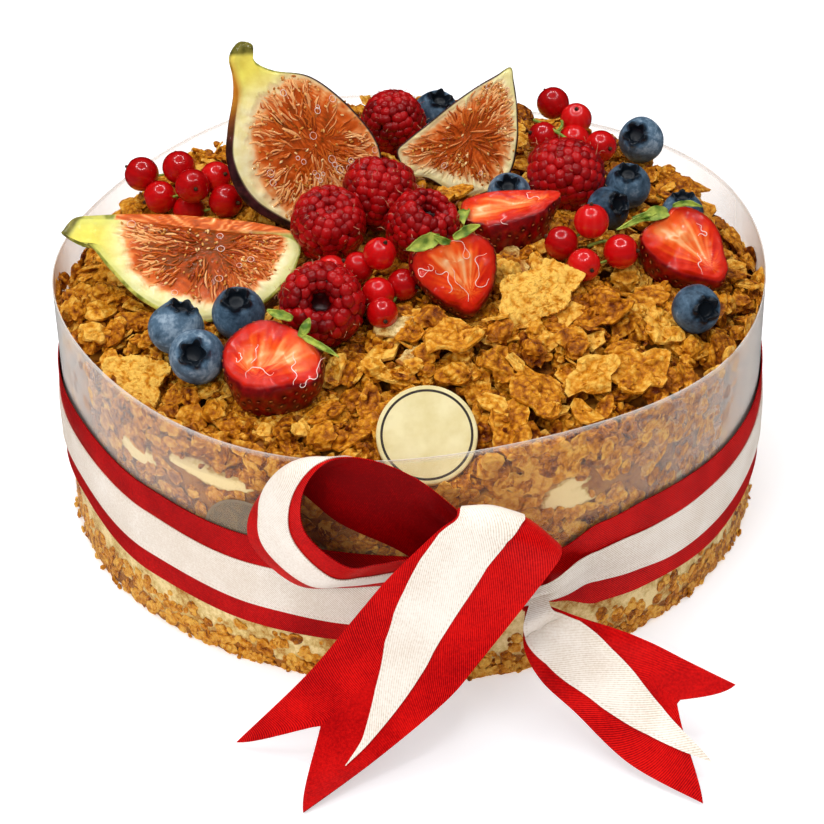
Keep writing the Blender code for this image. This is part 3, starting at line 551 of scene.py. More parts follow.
def dropCrumbs(ceiling):
    rng = np.random.default_rng(crumbs["seed"])
    span = np.arange(-mapHalf, mapHalf + 1)
    gridX, gridY = np.meshgrid(span, span)
    bare = looseTop(gridX, gridY)
    ground = bare - crumbs["bed"]
    kinds = crumbKinds()
    names = list(kinds)
    half = np.concatenate([np.full(kind[4] // 2, index) for index, kind in enumerate(kinds.values())])
    later = half.copy()
    rng.shuffle(half)
    rng.shuffle(later)
    order = np.concatenate([np.full(crumbs["firstNuggets"], names.index("crumbsNuggets")),
                            np.full(crumbs["firstSmall"], names.index("crumbsSmall")), half, later])
    bins, placed = {name: Bin() for name in kinds}, []
    limits = {name: kind[4] for name, kind in kinds.items()}
    for index in order:
        name = names[index]
        shapes, sizes, tilt, flat, _ = kinds[name]
        if limits[name] <= 0:
            continue
        lies = "flake" if name.startswith("flakes") else "lump"
        for _ in range(crumbs["tries"]):
            radius = (cake["collar"] - 1.5) * math.sqrt(rng.random())
            turn = rng.uniform(0, math.tau)
            x, y = radius * math.cos(turn), radius * math.sin(turn)
            size = rng.uniform(*sizes) if rng.random() < 0.8 else sizes[0]
            reach = max(1, int(size * 0.8))
            row, column = int(round(y)) + mapHalf, int(round(x)) + mapHalf
            patch = ground[max(row - reach, 0):row + reach + 1, max(column - reach, 0):column + reach + 1]
            slopeX = (patch[:, -1].mean() - patch[:, 0].mean()) / (2 * reach)
            slopeY = (patch[-1].mean() - patch[0].mean()) / (2 * reach)
            thick = size * (crumbs[lies + "Thick"] * flat)
            level = np.percentile(patch, crumbs[lies + "Level"]) + thick
            if level - thick * 0.5 > bare[row, column] + crumbs["rise"]:
                continue
            shape, faces, ridge = shapes[rng.integers(len(shapes))]
            axes = randomTurn(rng, (-slopeX * 0.8, -slopeY * 0.8, 1), tilt * 0.5)
            points = (shape * size * np.array((1, rng.uniform(0.75, 1), flat))) @ axes.T + (x, y, level)
            over = np.hypot(points[:, 0], points[:, 1]).max() - (cake["collar"] - crumbs["filmGap"])
            if over > 0:
                points[:, :2] -= np.array((x, y)) / max(radius, 1) * over
            cellX = np.clip(np.round(points[:, 0]).astype(int) + mapHalf, 0, 2 * mapHalf)
            cellY = np.clip(np.round(points[:, 1]).astype(int) + mapHalf, 0, 2 * mapHalf)
            excess = (points[:, 2] - ceiling[cellY, cellX]).max() + 0.4
            if excess > 0:
                points[:, 2] -= excess
                if excess > size * 0.9 + 1:
                    continue
            np.maximum.at(ground, (cellY, cellX), points[:, 2])
            placed.append((name, points, faces, rng.beta(2.2, 2.2), ridge, (cellY, cellX)))
            limits[name] -= 1
            break
    for name, points, faces, tone, ridge, cells in placed:
        if (points[:, 2] - ground[cells]).max() > -crumbs["buried"]:
            bins[name].put(points, faces, tone=tone, ridge=ridge)
    dust, nuggets = bakedPastry("crushedPastryDust", -0.02), bakedPastry("crushedPastryNuggets")
    sheets = bakedPastry("brokenPastrySheets", 0.1, -0.45)
    for (name, heap), finish in zip(bins.items(), (dust, nuggets, nuggets, sheets, sheets)):
        heap.piece(name, finish, "cake", "crumb", sharp=32)


# Cake under its crumbs, and its side: layered puff pastry and custard cream pressed to the film

# two of the values below paint a pool of paler colour on the crumb behind the film, above the knot: painted
# light
side = {"radius": 108.4, "columns": 540, "rows": 80, "topRows": 44, "creamTop": 20.0, "creamBase": 6.0,
        "front": -77.0, "paintedLightSpread": 13, "paintedLightFrom": (48, 58), "bodyPaintedLight": 0.6, "crumbPaintedLight": 0.34,
        "discClear": (4, 87, 16.5, 20), "creamBright": -0.28, "shapes": 14,
        "pressed": {  # how many, lowest, highest, sizes, crowding downwards, how golden
            "upper": (1500, 46, 78, 1.5, 3.6, 1.0, 0.05), "knot": (220, 20, 50, 1.5, 3.4, 1.0, 0.1),
            "foot": (1700, 0.5, 13, 0.9, 2.5, 1.7, 0.26), "spilt": (120, 0, 3, 0.8, 1.5, 2.0, 0.25)},
        "cream": "#DCC27A", "creamWarm": "#BA8026", "slab": "#FBE8AE", "crust": "#A8651C",
        "crustDark": "#5E2F0B"}


def creamShare(angle, height):  # where cream shows at the side, from 0 to 1
    ragged = swirl(angle * 0.09, height * 0.16, 3) * 0.9 + swirl(angle * 0.3, height * 0.5, 8) * 0.5
    band = smoothstep(side["creamBase"] - 3, side["creamBase"] + 2, height + 6 * ragged)
    band *= 1 - smoothstep(side["creamTop"] + 14, side["creamTop"] + 30, height + 14 * ragged)
    patches = 0.0
    for place, reach, middle, tall in ((-121.0, 7.5, 65.5, 5.0), (-66.5, 4.0, 59.5, 5.5), (-136.0, 4, 60, 4)):
        turn = (angle - place + 180) % 360 - 180
        near = math.hypot(turn / reach, (height - middle) / tall) + 0.7 * ragged
        patches = max(patches, 1.6 * (1 - float(smoothstep(0.8, 1.2, near))))
    return max(float(band), patches)


def paintedFrontLight(turn, height):  # painted light: a pool of paler colour on the crumb behind the film, above the knot
    away = (math.degrees(turn) - side["front"] + 180) % 360 - 180
    return math.exp(-(away / side["paintedLightSpread"]) ** 2) * float(smoothstep(*side["paintedLightFrom"], height))


def custardSide(name, soaked=0.0):  # custard cream is smooth and pale, the crumb in it rough and brown
    finish, tree = newFinish(name)
    place = addNode(tree, "TexCoord", output=3)
    cream, ridge = (addNode(tree, "Attribute", attribute_name=label, output=2)
                    for label in ("cream", "ridge"))
    broad = addNode(tree, "TexNoise", {"Vector": place, "Scale": grain(9.0), "Detail": 3.0})
    specks = addNode(tree, "TexNoise", {"Vector": place, "Scale": grain(1.6), "Detail": 4.0,
                                        "Roughness": 0.7})
    bare = addNode(tree, "MapRange", {0: cream, 1: 1.0, 2: 1.6})
    creamTone = side["creamBright"] - soaked
    for part, weight in ((specks, 0.8), (broad, 1.0), (bare, 0.3)):
        creamTone = addNode(tree, "Math", {0: part, 1: weight, 2: creamTone}, operation="MULTIPLY_ADD")
    creamColour = addNode(tree, "ValToRGB", {"Fac": creamTone}, stops=(
        (0.34, side["crust"]), (0.45, side["creamWarm"]), (0.6, side["cream"]), (0.8, side["slab"])))
    # ridge paints the crust darker in its hollows, as painted shade, and paler in the painted light above the
    # knot
    crustTone = addNode(tree, "Math", {0: ridge, 1: 0.5, 2: specks}, operation="MULTIPLY_ADD")
    crustColour = addNode(tree, "ValToRGB", {"Fac": crustTone}, stops=(
        (0.3, side["crustDark"]), (0.52, side["crust"]), (0.8, side["creamWarm"])))
    share = addNode(tree, "MapRange", {0: addNode(tree, "Math", {0: specks, 1: 0.5, 2: cream},
                                                  operation="MULTIPLY_ADD"), 1: 0.55, 2: 0.85})
    colour = addNode(tree, "Mix", {0: share, 6: crustColour, 7: creamColour}, output=2, data_type="RGBA")
    bump = addNode(tree, "Bump", {"Height": specks, "Strength": 0.5, "Distance": 0.6 * mm})
    return wear(finish, addNode(tree, "BsdfPrincipled", {
        "Base Color": colour, "Roughness": 0.55, "Normal": bump, "Specular IOR Level": 0.35}))


def addCakeBody(ceiling):
    columns, points, cream, ridge = side["columns"], [], [], []
    turns = [column / columns * math.tau for column in range(columns)]
    for row in range(1, side["topRows"]):  # the bed under the loose crumbs
        radius = side["radius"] * (row / side["topRows"]) ** 0.9
        for turn in turns:
            x, y = radius * math.cos(turn), radius * math.sin(turn)
            lump = swirl(x / 6, y / 6, 1)
            height = looseTop(x, y) - crumbs["bed"] + 1.2 * lump
            height = min(height, ceiling[int(round(y)) + mapHalf, int(round(x)) + mapHalf] - 0.8)
            points.append((x, y, height))
            cream.append(0.0)
            ridge.append(lump * 0.6)
    for row in range(side["rows"] + 1):
        for turn in turns:
            x, y = math.cos(turn), math.sin(turn)
            top = looseTop(cake["radius"] * x, cake["radius"] * y) - crumbs["bed"] + 0.6
            height = top * (1 - row / side["rows"])
            show = creamShare(math.degrees(turn), height)
            lump = 0.55 - 1.5 * abs(swirl(x * 30, y * 30, height / 3.6))
            lump += 0.4 * swirl(x * 60, y * 60, height / 1.8)
            radius = side["radius"] + (0.9 * lump * (1 - 0.75 * show) + 0.5 * show)
            points.append((radius * x, radius * y, height))
            cream.append(show)
            # ridge: the side's lumps, painted darker in their hollows as shade, plus the pool of painted
            # light above the knot
            ridge.append(lump * 0.5 + side["bodyPaintedLight"] * paintedFrontLight(turn, height))
    count = len(points)
    points += [(0, 0, points[0][2]), (0, 0, 0)]
    cream += [0, 0]
    ridge += [0, 0]
    rows = side["topRows"] + side["rows"]
    quads = gridQuads(rows, columns, True)[:, ::-1]
    caps = np.concatenate([capFan(count, np.arange(columns)),
                           capFan(count + 1, np.arange(count - columns, count), True)])
    mesh = newMesh("cakeBody", points, quads, caps)
    finish = custardSide("custardAndCrumb")
    addPiece("cakeBody", mesh, finish, "cake", {"cream": cream, "ridge": ridge})


def pressCrumbs():  # crumbs flattened against the film, above the ribbon, at the foot and just outside it
    rng = np.random.default_rng(11)
    lumps = [lumpShape(2, seed, 2.3) for seed in range(side["shapes"])]
    dust = [lumpShape(1, seed, 2.3) for seed in range(side["shapes"])]
    flakes = [flakeShape(3, 10, seed, 0.12, 1.2) for seed in range(side["shapes"])]
    heap, sheets = Bin(), Bin()
    middle, level, wide, tall = side["discClear"]
    for zone, (count, low, high, smallest, largest, crowd, golden) in side["pressed"].items():
        for index in range(count):
            turn = rng.uniform(0, math.tau)
            if zone == "knot":
                turn = math.radians(rng.uniform(-104, -50))
            height, size = low + (high - low) * rng.random() ** crowd, rng.uniform(smallest, largest)
            away = np.array((math.cos(turn), math.sin(turn), 0))
            beside = (cake["collar"] * away[0] - middle) / wide
            hides = away[1] < 0 and math.hypot(beside, (height - level) / tall) < 1
            at = away[:2] * side["radius"]
            hides = hides or height > high - float(heapHeight(*at) - looseTop(*at))
            if hides or (zone != "foot" and creamShare(math.degrees(turn), height) > 0.6):
                continue
            flake = zone == "upper" and index % 2
            shapes = flakes if flake else dust if size < 1.7 else lumps
            shape, faces, ridge = shapes[rng.integers(side["shapes"])]
            size *= 1.25 if flake else 1
            flat = np.array((1, rng.uniform(0.7, 1), 0.8 if flake else 0.55))
            points = (shape * size * flat) @ randomTurn(rng, away, 0.25).T
            if zone == "spilt":
                points += away * (cake["collar"] - 0.7 - (points @ away).min())
                points[:, 2] += height - points[:, 2].min()
            else:
                points += away * (side["radius"] + 0.5) + (0, 0, max(height, size * 0.8))
                limit = cake["collar"] - film["thick"] - 0.05
                points[:, :2] *= np.minimum(1, limit / np.hypot(points[:, 0], points[:, 1]))[:, None]
                points[:, 2] = np.maximum(points[:, 2], 0.1)
            # the tone adds the pool of painted light above the knot
            tone = rng.beta(2.4, 2.0) + golden + side["crumbPaintedLight"] * paintedFrontLight(turn, height)
            (sheets if flake else heap).put(points, faces, tone=tone, ridge=ridge)
    heap.piece("crumbsPressed", bakedPastry("pressedPastryCrumb", 0.02), "cake", "crumb", sharp=32)
    sheets.piece("flakesPressed", bakedPastry("pressedPastryFlake", 0.04, -0.42), "cake", "crumb", sharp=32)


# Collar: a strip of clear acetate film, cut and bent round, painted white where it is seen along: painted
# sheen for its reflections, with a little haze

film = {"thick": 0.35, "columns": 320, "rows": 44, "veil": "#F1ECE6", "clear": "#FFFDFA", "clearBelow": 26.0,
        "leftPaintedSheen": 0.6, "rightPaintedSheen": 0.6}


def clearAcetate():
    finish, tree = newFinish("clearAcetateFilm")
    place = addNode(tree, "TexCoord", output=3)
    rim, milkAndPaintedSheen = (addNode(tree, "Attribute", attribute_name=label, output=2) for label in ("rim", "milkAndPaintedSheen"))
    flat = addNode(tree, "Mapping", {"Vector": place, "Scale": (1, 1, 0.3)})
    streaks = addNode(tree, "TexNoise", {"Vector": flat, "Scale": grain(30.0), "Detail": 2.0})
    facing = addNode(tree, "LayerWeight", {"Blend": 0.5}, output=1)  # one less the cosine, for both sides
    # edge and veil paint the film white where it is seen along: painted sheen standing in for its
    # reflections, with faint streaks of haze
    edge = addNode(tree, "Math", {0: addNode(tree, "Math", {0: facing, 1: 5.0}, operation="POWER"),
                                  1: 0.9, 2: 0.02}, operation="MULTIPLY_ADD")
    cloudy = addNode(tree, "MapRange", {0: streaks, 1: 0.3, 2: 0.7, 3: 0.08, 4: 0.26})
    veil = addNode(tree, "Math", {0: facing, 1: 1.6}, operation="POWER")
    for part in (cloudy, milkAndPaintedSheen):
        veil = addNode(tree, "Math", {0: veil, 1: part}, operation="MULTIPLY")
    edge = addNode(tree, "Math", {0: milkAndPaintedSheen, 1: edge}, operation="MULTIPLY")
    # the top edge is painted whiter: a painted highlight on the cut rim
    veil = addNode(tree, "Math", {0: rim, 1: 0.3, 2: veil}, operation="MULTIPLY_ADD", use_clamp=True)
    hazeAndPaintedSheenDiffuse = addNode(tree, "BsdfDiffuse", {"Color": film["veil"]})
    gloss = addNode(tree, "BsdfPrincipled", {"Base Color": film["veil"], "Roughness": 0.2})
    clear = addNode(tree, "BsdfTransparent", {"Color": film["clear"]})
    clearWithPaintedSheen = addNode(tree, "MixShader", {0: veil, 1: clear, 2: hazeAndPaintedSheenDiffuse})
    return wear(finish, addNode(tree, "MixShader", {0: edge, 1: clearWithPaintedSheen, 2: gloss}))


def addCollar():
    turns = np.arange(film["columns"]) / film["columns"] * math.tau
    wave = cake["wave"] * np.cos(4 * (turns - math.radians(cake["wavePeak"])))
    top = cake["collarHeight"] + wave
    share = np.linspace(0, 1, film["rows"])[:, None]
    radius = cake["collar"] - film["thick"] / 2 + 0.12 * np.sin(3 * turns + 1)[None] * share
    height = np.minimum(top[None] * share, top)
    grid = np.stack([radius * np.cos(turns), radius * np.sin(turns), height], axis=2)
    points, faces = shellOf(grid, film["thick"], True)
    rim = bothSides((top[None] - height < 0.4).astype(float))
    # painted sheen: whiter above the ribbon, and more at the left and right sides
    milkAndPaintedSheen = 0.06 + 0.94 * smoothstep(film["clearBelow"] - 8, film["clearBelow"] + 6, height)
    milkAndPaintedSheen = bothSides(milkAndPaintedSheen * (1 + film["leftPaintedSheen"] * smoothstep(-40, -100, grid[..., 0])
                               + film["rightPaintedSheen"] * smoothstep(30, 65, grid[..., 0])))
    addPiece("collarFilm", newMesh("collarFilm", points, faces), clearAcetate(), "collar_film",
             {"rim": rim, "milkAndPaintedSheen": milkAndPaintedSheen}, sharp=50)


seal = {"angle": -115.7, "height": 45.7, "radius": 13.8, "lift": 0.35, "thick": 0.25, "rim": 0.96}


def frostedLabel():  # a matt plastic label: it greys what is behind it
    finish, tree = newFinish("frostedPlasticLabel")
    place = addNode(tree, "TexCoord", output=3)
    rim = addNode(tree, "Attribute", attribute_name="rim", output=2)
    mottle = addNode(tree, "TexNoise", {"Vector": place, "Scale": grain(2.5), "Detail": 3.0})
    cover = addNode(tree, "MapRange", {0: mottle, 1: 0.3, 2: 0.7, 3: 0.46, 4: 0.51})
    cover = addNode(tree, "Math", {0: rim, 1: 0.25, 2: cover}, operation="MULTIPLY_ADD", use_clamp=True)
    matt = addNode(tree, "BsdfPrincipled", {"Base Color": "#A08F78", "Roughness": 0.45})
    clear = addNode(tree, "BsdfTransparent", {"Color": "#FFFFFF"})
    return wear(finish, addNode(tree, "MixShader", {0: cover, 1: clear, 2: matt}))


def addSeal():
    turns = np.arange(72) / 72 * math.tau
    share = np.linspace(0.02, 1, 14)[:, None]
    flatX = seal["radius"] * share * np.cos(turns)
    flatZ = seal["radius"] * share * np.sin(turns)
    turn = np.radians(seal["angle"]) + flatX / cake["collar"]
    radius = cake["collar"] + seal["lift"]
    grid = np.stack([radius * np.cos(turn), radius * np.sin(turn), seal["height"] + flatZ], axis=2)[::-1]
    rim = bothSides(np.broadcast_to(share[::-1] > seal["rim"], flatX.shape).astype(float))
    mesh = newMesh("collarSeal", *filledShell(grid, seal["thick"], True))
    values = {"rim": np.append(rim, (0, 0))}
    addPiece("collarSeal", mesh, frostedLabel(), "collar_seal", values, 40)


# Ribbons: polyester satin woven with a fine diagonal twill and slit to width

ribbon = {"knot": -73.5, "knotHeight": 36.0, "redRadius": 111.0, "redHalf": 15.8, "whiteHalf": 7.3,
          "bandPaintedShade": -0.12, "redThick": 0.4, "whiteThick": 0.34, "lift": 0.6, "twill": 0.8, "stitch": 1.3,
          "course": ((-180, 37.3), (-157, 40.0), (-135, 35.1), (-115, 32.4), (-90, 32.0), (-73.5, 34.0),
                     (-55, 33.5), (-35, 32.0), (-10, 33.0), (40, 36.0), (90, 37.0), (140, 37.0),
                     (180, 38.0))}
# each run is a row of stations, and each station is the ribbon's two edges there
bowLoop = {
    "stations": (((31.5, -113.5, 43), (31, -112.8, 38.5)), ((12, -119, 68.5), (7, -114.3, 46)),
                 ((0, -119, 80.5), (-7, -114, 54)), ((-13, -122, 89), (-21, -112.7, 61.5)),
                 ((-23, -126, 91), (-35.5, -110.8, 74)), ((-29.5, -125, 80.5), (-45, -106, 62)),
                 ((-29.5, -123.5, 66), (-46, -106, 49)), ((-19, -126.5, 56.5), (-34, -110.5, 38.5)),
                 ((-10, -124, 55), (-21, -113, 38.5)), ((2, -121, 54.5), (-4, -114.5, 40.5)),
                 ((19, -117.5, 48), (17, -114, 40)), ((31.5, -113, 41), (31, -112.8, 37))),
    "arch": ((0, 0.0), (0.25, 0.5), (0.38, 3.0), (0.5, 1.0), (1, 0.0)),
    "stripe": ((0, 0.3, 0.7), (0.22, 0.16, 0.8), (0.31, 0.02, 0.82), (0.37, 0.02, 0.82), (0.42, 0.08, 0.8),
               (0.48, 0.15, 0.73), (0.55, 0.2, 0.73), (0.7, 0.38, 0.77), (1, 0.42, 0.75)),
    "gather": ((0, 1.0), (0.2, 0.0), (0.72, 0.0), (1, 1.0)), "rows": 170}
foldOver = {
    "stations": (((34, -112.2, 42), (30.5, -112.8, 42)), ((36.5, -117, 49), (24.5, -117.3, 51)),
                 ((38.5, -121.5, 56), (15, -119.5, 64)), ((39.5, -125, 60.5), (12, -121.3, 70.8)),
                 ((39.6, -127.8, 61.6), (11.8, -123.6, 72.6)), ((38.5, -130.2, 59.5), (11, -125.8, 71.4)),
                 ((31.5, -133.5, 50.5), (6, -127, 68)), ((17, -141, 34), (-7, -129.5, 55)),
                 ((7.5, -145.5, 24), (-16, -131.5, 44)), ((-11, -152.5, 10.5), (-31, -134, 24.5)),
                 ((-32, -163.5, 0.9), (-51.5, -135, 1.3))),
    "arch": ((0, 0.0), (0.15, 0.5), (0.32, 4.0), (0.45, 4.5), (0.58, 1.5), (0.7, 0.0), (1, 0.0)),
    "stripe": ((0, 0.42, 0.9), (0.4, 0.42, 0.985), (0.5, 0.51, 0.985), (0.6, 0.48, 0.98),
               (0.65, 0.42, 0.93), (0.7, 0.37, 0.84), (0.75, 0.34, 0.78), (0.8, 0.29, 0.69),
               (0.85, 0.22, 0.48), (0.9, 0.15, 0.22), (0.93, 0.12, 0.124), (1, 0.06, 0.062)),
    "gather": ((0, 1.0), (0.25, 0.25), (0.4, 0.0), (1, 0.0)), "notch": (0.922, 0.565), "rows": 190}
rightTail = {
    "stations": (((34, -111.5, 31), (31, -112.3, 29)), ((44.5, -117, 30), (30, -121, 22.5)),
                 ((55, -121.5, 29), (34.5, -128, 16)), ((65, -127, 28), (43.5, -138, 12.5)),
                 ((75.5, -133, 25.5), (58, -151, 4.5)), ((87.5, -140, 23), (77, -163.5, 0.9))),
    "arch": ((0, 0.0), (1, 0.0)),
    "stripe": ((0, 0.1, 0.95), (0.15, 0.08, 0.95), (0.25, 0.07, 0.89), (0.35, 0.14, 0.83),
               (0.5, 0.25, 0.82), (0.65, 0.34, 0.79), (0.8, 0.45, 0.71), (0.9, 0.56, 0.69),
               (0.985, 0.658, 0.664), (1, 0.66, 0.664)),
    "gather": ((0, 1.0), (0.35, 0.3), (0.7, 0.0), (1, 0.0)), "notch": (0.826, 0.337), "rows": 110}
sheetLengths = {"red": 0.0, "white": 0.0}


def runPlace(run, along, across, lift=0.0):  # a place on a run, at shares of its length and its width
    stations = np.array(run["stations"], float)
    steps = len(stations) - 1
    first, second = through(stations, along * steps)
    before = through(stations, max(along - 0.02, 0) * steps).sum(axis=0)
    after = through(stations, min(along + 0.02, 1) * steps).sum(axis=0)
    normal = np.cross(after - before, first - second)
    normal /= np.linalg.norm(normal)
    width = np.linalg.norm(first - second)
    bulge = 4 * across * (1 - across) * eased(run["arch"], along)
    pinch = eased(run["gather"], along)
    bulge += pinch * 0.05 * width * math.sin(across * 17 + along * 5)
    bulge += 0.35 * swirl(along * 7, across * 1.5, 2)
    return first * (1 - across) + second * across + normal * (lift + bulge)


def runGrid(run, columns, stripe=False, span=(0.0, 1.0)):
    rows = []
    for along in np.linspace(span[0], span[1], int(run["rows"] * (span[1] - span[0]))):
        row = []
        for share in np.linspace(0, 1, columns):
            place, across, lift = along, share, 0.0
            if stripe:
                at, lows, highs = np.array(run["stripe"]).T
                low, high = np.interp(along, at, lows), np.interp(along, at, highs)
                across, lift = low + (high - low) * share, ribbon["lift"]
            elif "notch" in run and along > 0.7:
                tip, middle = run["notch"]
                near = across / middle if across < middle else (1 - across) / (1 - middle)
                place = 0.7 + (0.3 - (1 - tip) * near) * (along - 0.7) / 0.3
            row.append(runPlace(run, place, across, lift))
        rows.append(row)
    return np.array(rows)


def joined(points, grid, columns, rows=26):  # a grid through a few three-point rows, then on into the grid
    edges = [np.array(pair, float) for pair in points] + [grid[0, [0, -1]], grid[6, [0, -1]]]
    start = np.array([through(edges, place) for place in np.linspace(0, len(points), rows, endpoint=False)])
    share = np.linspace(0, 1, columns)[None, :, None]
    return np.concatenate([start[:, :1] * (1 - share) + start[:, 1:] * share, grid])


def putSheet(heap, grid, thick, colour, closed=False):  # rows run along it, but across the closed band
    sideways = 0 if closed else 1
    lengthAt = lengthsAlong(grid.mean(axis=sideways))
    along = np.broadcast_to(np.expand_dims(lengthAt, sideways), grid.shape[:2])
    steps = np.diff(grid, axis=sideways, prepend=np.take(grid, [0], axis=sideways))
    across = np.cumsum(np.linalg.norm(steps, axis=2), axis=sideways)
    hem = np.minimum(across, np.take(across, [-1], axis=sideways) - across)
    sheetLengths[colour] += float(lengthAt[-1])
    points, faces = shellOf(grid, thick, closed)
    # back marks each sheet's back face and deep the band's left side; the satin paints both darker, as
    # painted shade
    heap.put(points, faces, along=bothSides(along), across=bothSides(across), hem=bothSides(hem),
             back=np.repeat((0.0, 1.0), along.size),
             deep=bothSides(float(closed) * (1 - smoothstep(-30, 60, grid[..., 0]))))


def satin(name, colour, deep, pale, stitched):
    finish, tree = newFinish(name)
    along, across, hem, back, bandPaintedShade = (addNode(tree, "Attribute", attribute_name=label, output=2)
                                        for label in ("along", "across", "hem", "back", "deep"))
    place = addNode(tree, "TexCoord", output=3)
    # the twill is woven at about 0.25 mm; it is drawn coarser so that it shows at this size
    slant = addNode(tree, "Math", {0: along, 1: across}, operation="ADD")
    rib = addNode(tree, "Math", {0: addNode(tree, "Math", {0: slant, 1: math.tau / ribbon["twill"]},
                                            operation="MULTIPLY")}, operation="SINE")
    uneven = addNode(tree, "TexNoise", {"Vector": place, "Scale": grain(0.7), "Detail": 2.0})
    broad = addNode(tree, "TexNoise", {"Vector": place, "Scale": grain(14.0), "Detail": 2.0})
    # broad noise towards the pale stop is uneven dye and painted sheen for the satin's highlights; the back
    # face and the band's left side are painted darker as shade
    parts = [(broad, 0.5), (uneven, 0.5), (rib, 0.22), (back, -0.42), (bandPaintedShade, ribbon["bandPaintedShade"])]
    if stitched:  # a row of needle holes runs 1 mm in from each edge
        beat = addNode(tree, "Math", {0: addNode(tree, "Math", {0: along, 1: math.tau / ribbon["stitch"]},
                                                 operation="MULTIPLY")}, operation="SINE")
        inLine = addNode(tree, "Math", {0: hem, 1: 1.0, 2: 0.28}, operation="COMPARE")
        hole = addNode(tree, "Math", {0: inLine, 1: addNode(tree, "Math", {0: beat, 1: 0.2},
                                                            operation="GREATER_THAN")}, operation="MULTIPLY")
        parts.append((hole, -0.16))
    tone = 0.0
    for part, weight in parts:
        tone = addNode(tree, "Math", {0: part, 1: weight, 2: tone}, operation="MULTIPLY_ADD")
    shade = addNode(tree, "ValToRGB", {"Fac": tone}, stops=((0.2, deep), (0.45, colour), (0.75, pale)))
    bump = addNode(tree, "Bump", {"Height": tone, "Strength": 0.25, "Distance": 0.25 * mm})
    return wear(finish, addNode(tree, "BsdfPrincipled", {
        "Base Color": shade, "Roughness": 0.42, "Normal": bump, "Specular IOR Level": 0.08}))


def bandGrid(radius, height, half, rows):  # once round the collar, closer together near the knot
    turns = np.arange(420) / 420 * math.tau
    angles = (ribbon["knot"] + np.degrees(turns - 0.4 * np.sin(turns)) + 180) % 360 - 180
    far = np.abs((angles - ribbon["knot"] + 180) % 360 - 180)
    share = np.linspace(-1, 1, rows)[:, None]
    gather = np.exp(-far / 9)[None]
    reach = radius(far)[None] + gather * 0.7 * np.sin(share * 7 + far[None] * 0.12)
    reach = reach + 0.12 * np.sin(share * 3 + 1) + 0.2 * np.sin(np.radians(angles) * 11)[None] * share
    level = height(angles, far)[None] + half(far)[None] * share
    turn = np.radians(angles)
    return np.stack([reach * np.cos(turn), reach * np.sin(turn), level], axis=2)


def addRedRibbon():
    heap = Bin()
    halves = ((0, 5.5), (5, 9.5), (12, 14.5), (20, ribbon["redHalf"]), (180, ribbon["redHalf"]))
    band = bandGrid(lambda far: ribbon["redRadius"] + 0 * far,
                    lambda angle, far: eased(ribbon["course"], angle), lambda far: eased(halves, far), 22)
    putSheet(heap, band, ribbon["redThick"], "red", True)
    for run in (bowLoop, foldOver, rightTail):
        putSheet(heap, runGrid(run, 26), ribbon["redThick"], "red")
    made = heap.piece("ribbonRed", satin("redPolyesterSatin", "#BE0005", "#780003", "#E2140E", False),
                      "ribbon_red", "red_satin", sharp=50)
    points, quads, caps = ballShape(48, 34)
    angle = np.arctan2(points[:, 1], points[:, 0])
    crease = 1 + 0.07 * np.sin(5 * angle + 3 * points[:, 2]) + 0.05 * np.sin(9 * angle - 2 * points[:, 2])
    points = points * np.stack([crease * 5.5, crease * 4.2, 9.5 + 0 * crease], axis=1)
    knot = Bin()
    facing = turned((0, 0, 1), onCollar(ribbon["knot"], 1, 0))
    centre = onCollar(ribbon["knot"], ribbon["redRadius"] + 3.6, ribbon["knotHeight"])
    placed = points @ facing.T + centre
    # the knot takes half the band's painted shade
    knot.put(placed, quads, caps, along=points[:, 2] * 2, across=angle * 5, hem=5.0, back=0.0, deep=0.5)
    knot.piece("ribbonKnot", made.data.materials[0], "ribbon_red", "red_satin", sharp=60)


def addWhiteRibbon():
    heap = Bin()
    offsets = ((0, 3.0), (12, -0.5), (26, -1.9), (38, -1.0), (60, -0.4), (85, -0.7), (120, -1.5), (180, -2.0))
    halves = ((0, 3.0), (8, 5.0), (18, 6.7), (26, ribbon["whiteHalf"]), (180, ribbon["whiteHalf"]))
    band = bandGrid(lambda far: ribbon["redRadius"] + ribbon["lift"] + 9.6 * smoothstep(0, 1, 1 - far / 11),
                    lambda angle, far: eased(ribbon["course"], angle) + eased(offsets, far),
                    lambda far: eased(halves, far), 10)
    putSheet(heap, band, ribbon["whiteThick"], "white", True)
    columns = 11
    loop = runGrid(bowLoop, columns, True, (0.08, 0.9))
    loop = joined((((31.5, -115.8, 38.5), (31.5, -115.8, 36)), ((26, -118, 42), (25.5, -118.5, 38))),
                  loop[::-1], columns)[::-1]
    front = joined((((15, -111.9, 32), (10, -112.2, 32)), ((19, -112.9, 41), (14.5, -113.2, 41)),
                    ((25, -114, 50), (21, -114, 50)), ((28.5, -116.2, 57), (24, -116.2, 58))),
                   runGrid(foldOver, columns, True, (0.25, 0.93)), columns)
    tail = joined((((36.5, -114.8, 37.5), (32.5, -115.9, 36)), ((38, -118.8, 34), (30, -120.5, 30))),
                  runGrid(rightTail, columns, True, (0.166, 0.985)), columns, 20)
    for grid in (loop, front, tail):
        putSheet(heap, grid, ribbon["whiteThick"], "white")
    made = heap.piece("ribbonWhite", satin("ivoryPolyesterSatin", "#F1E6D9", "#D8C6B1", "#FDF5EA", True),
                      "ribbon_white", "white_satin", sharp=50)


# Chocolate disc: moulded white chocolate with a printed ring line

disc = {"centre": (4, -94.3, 77.0), "lean": 44.0, "radius": 14.2, "thick": 2.6, "ring": 0.89, "line": 0.35}


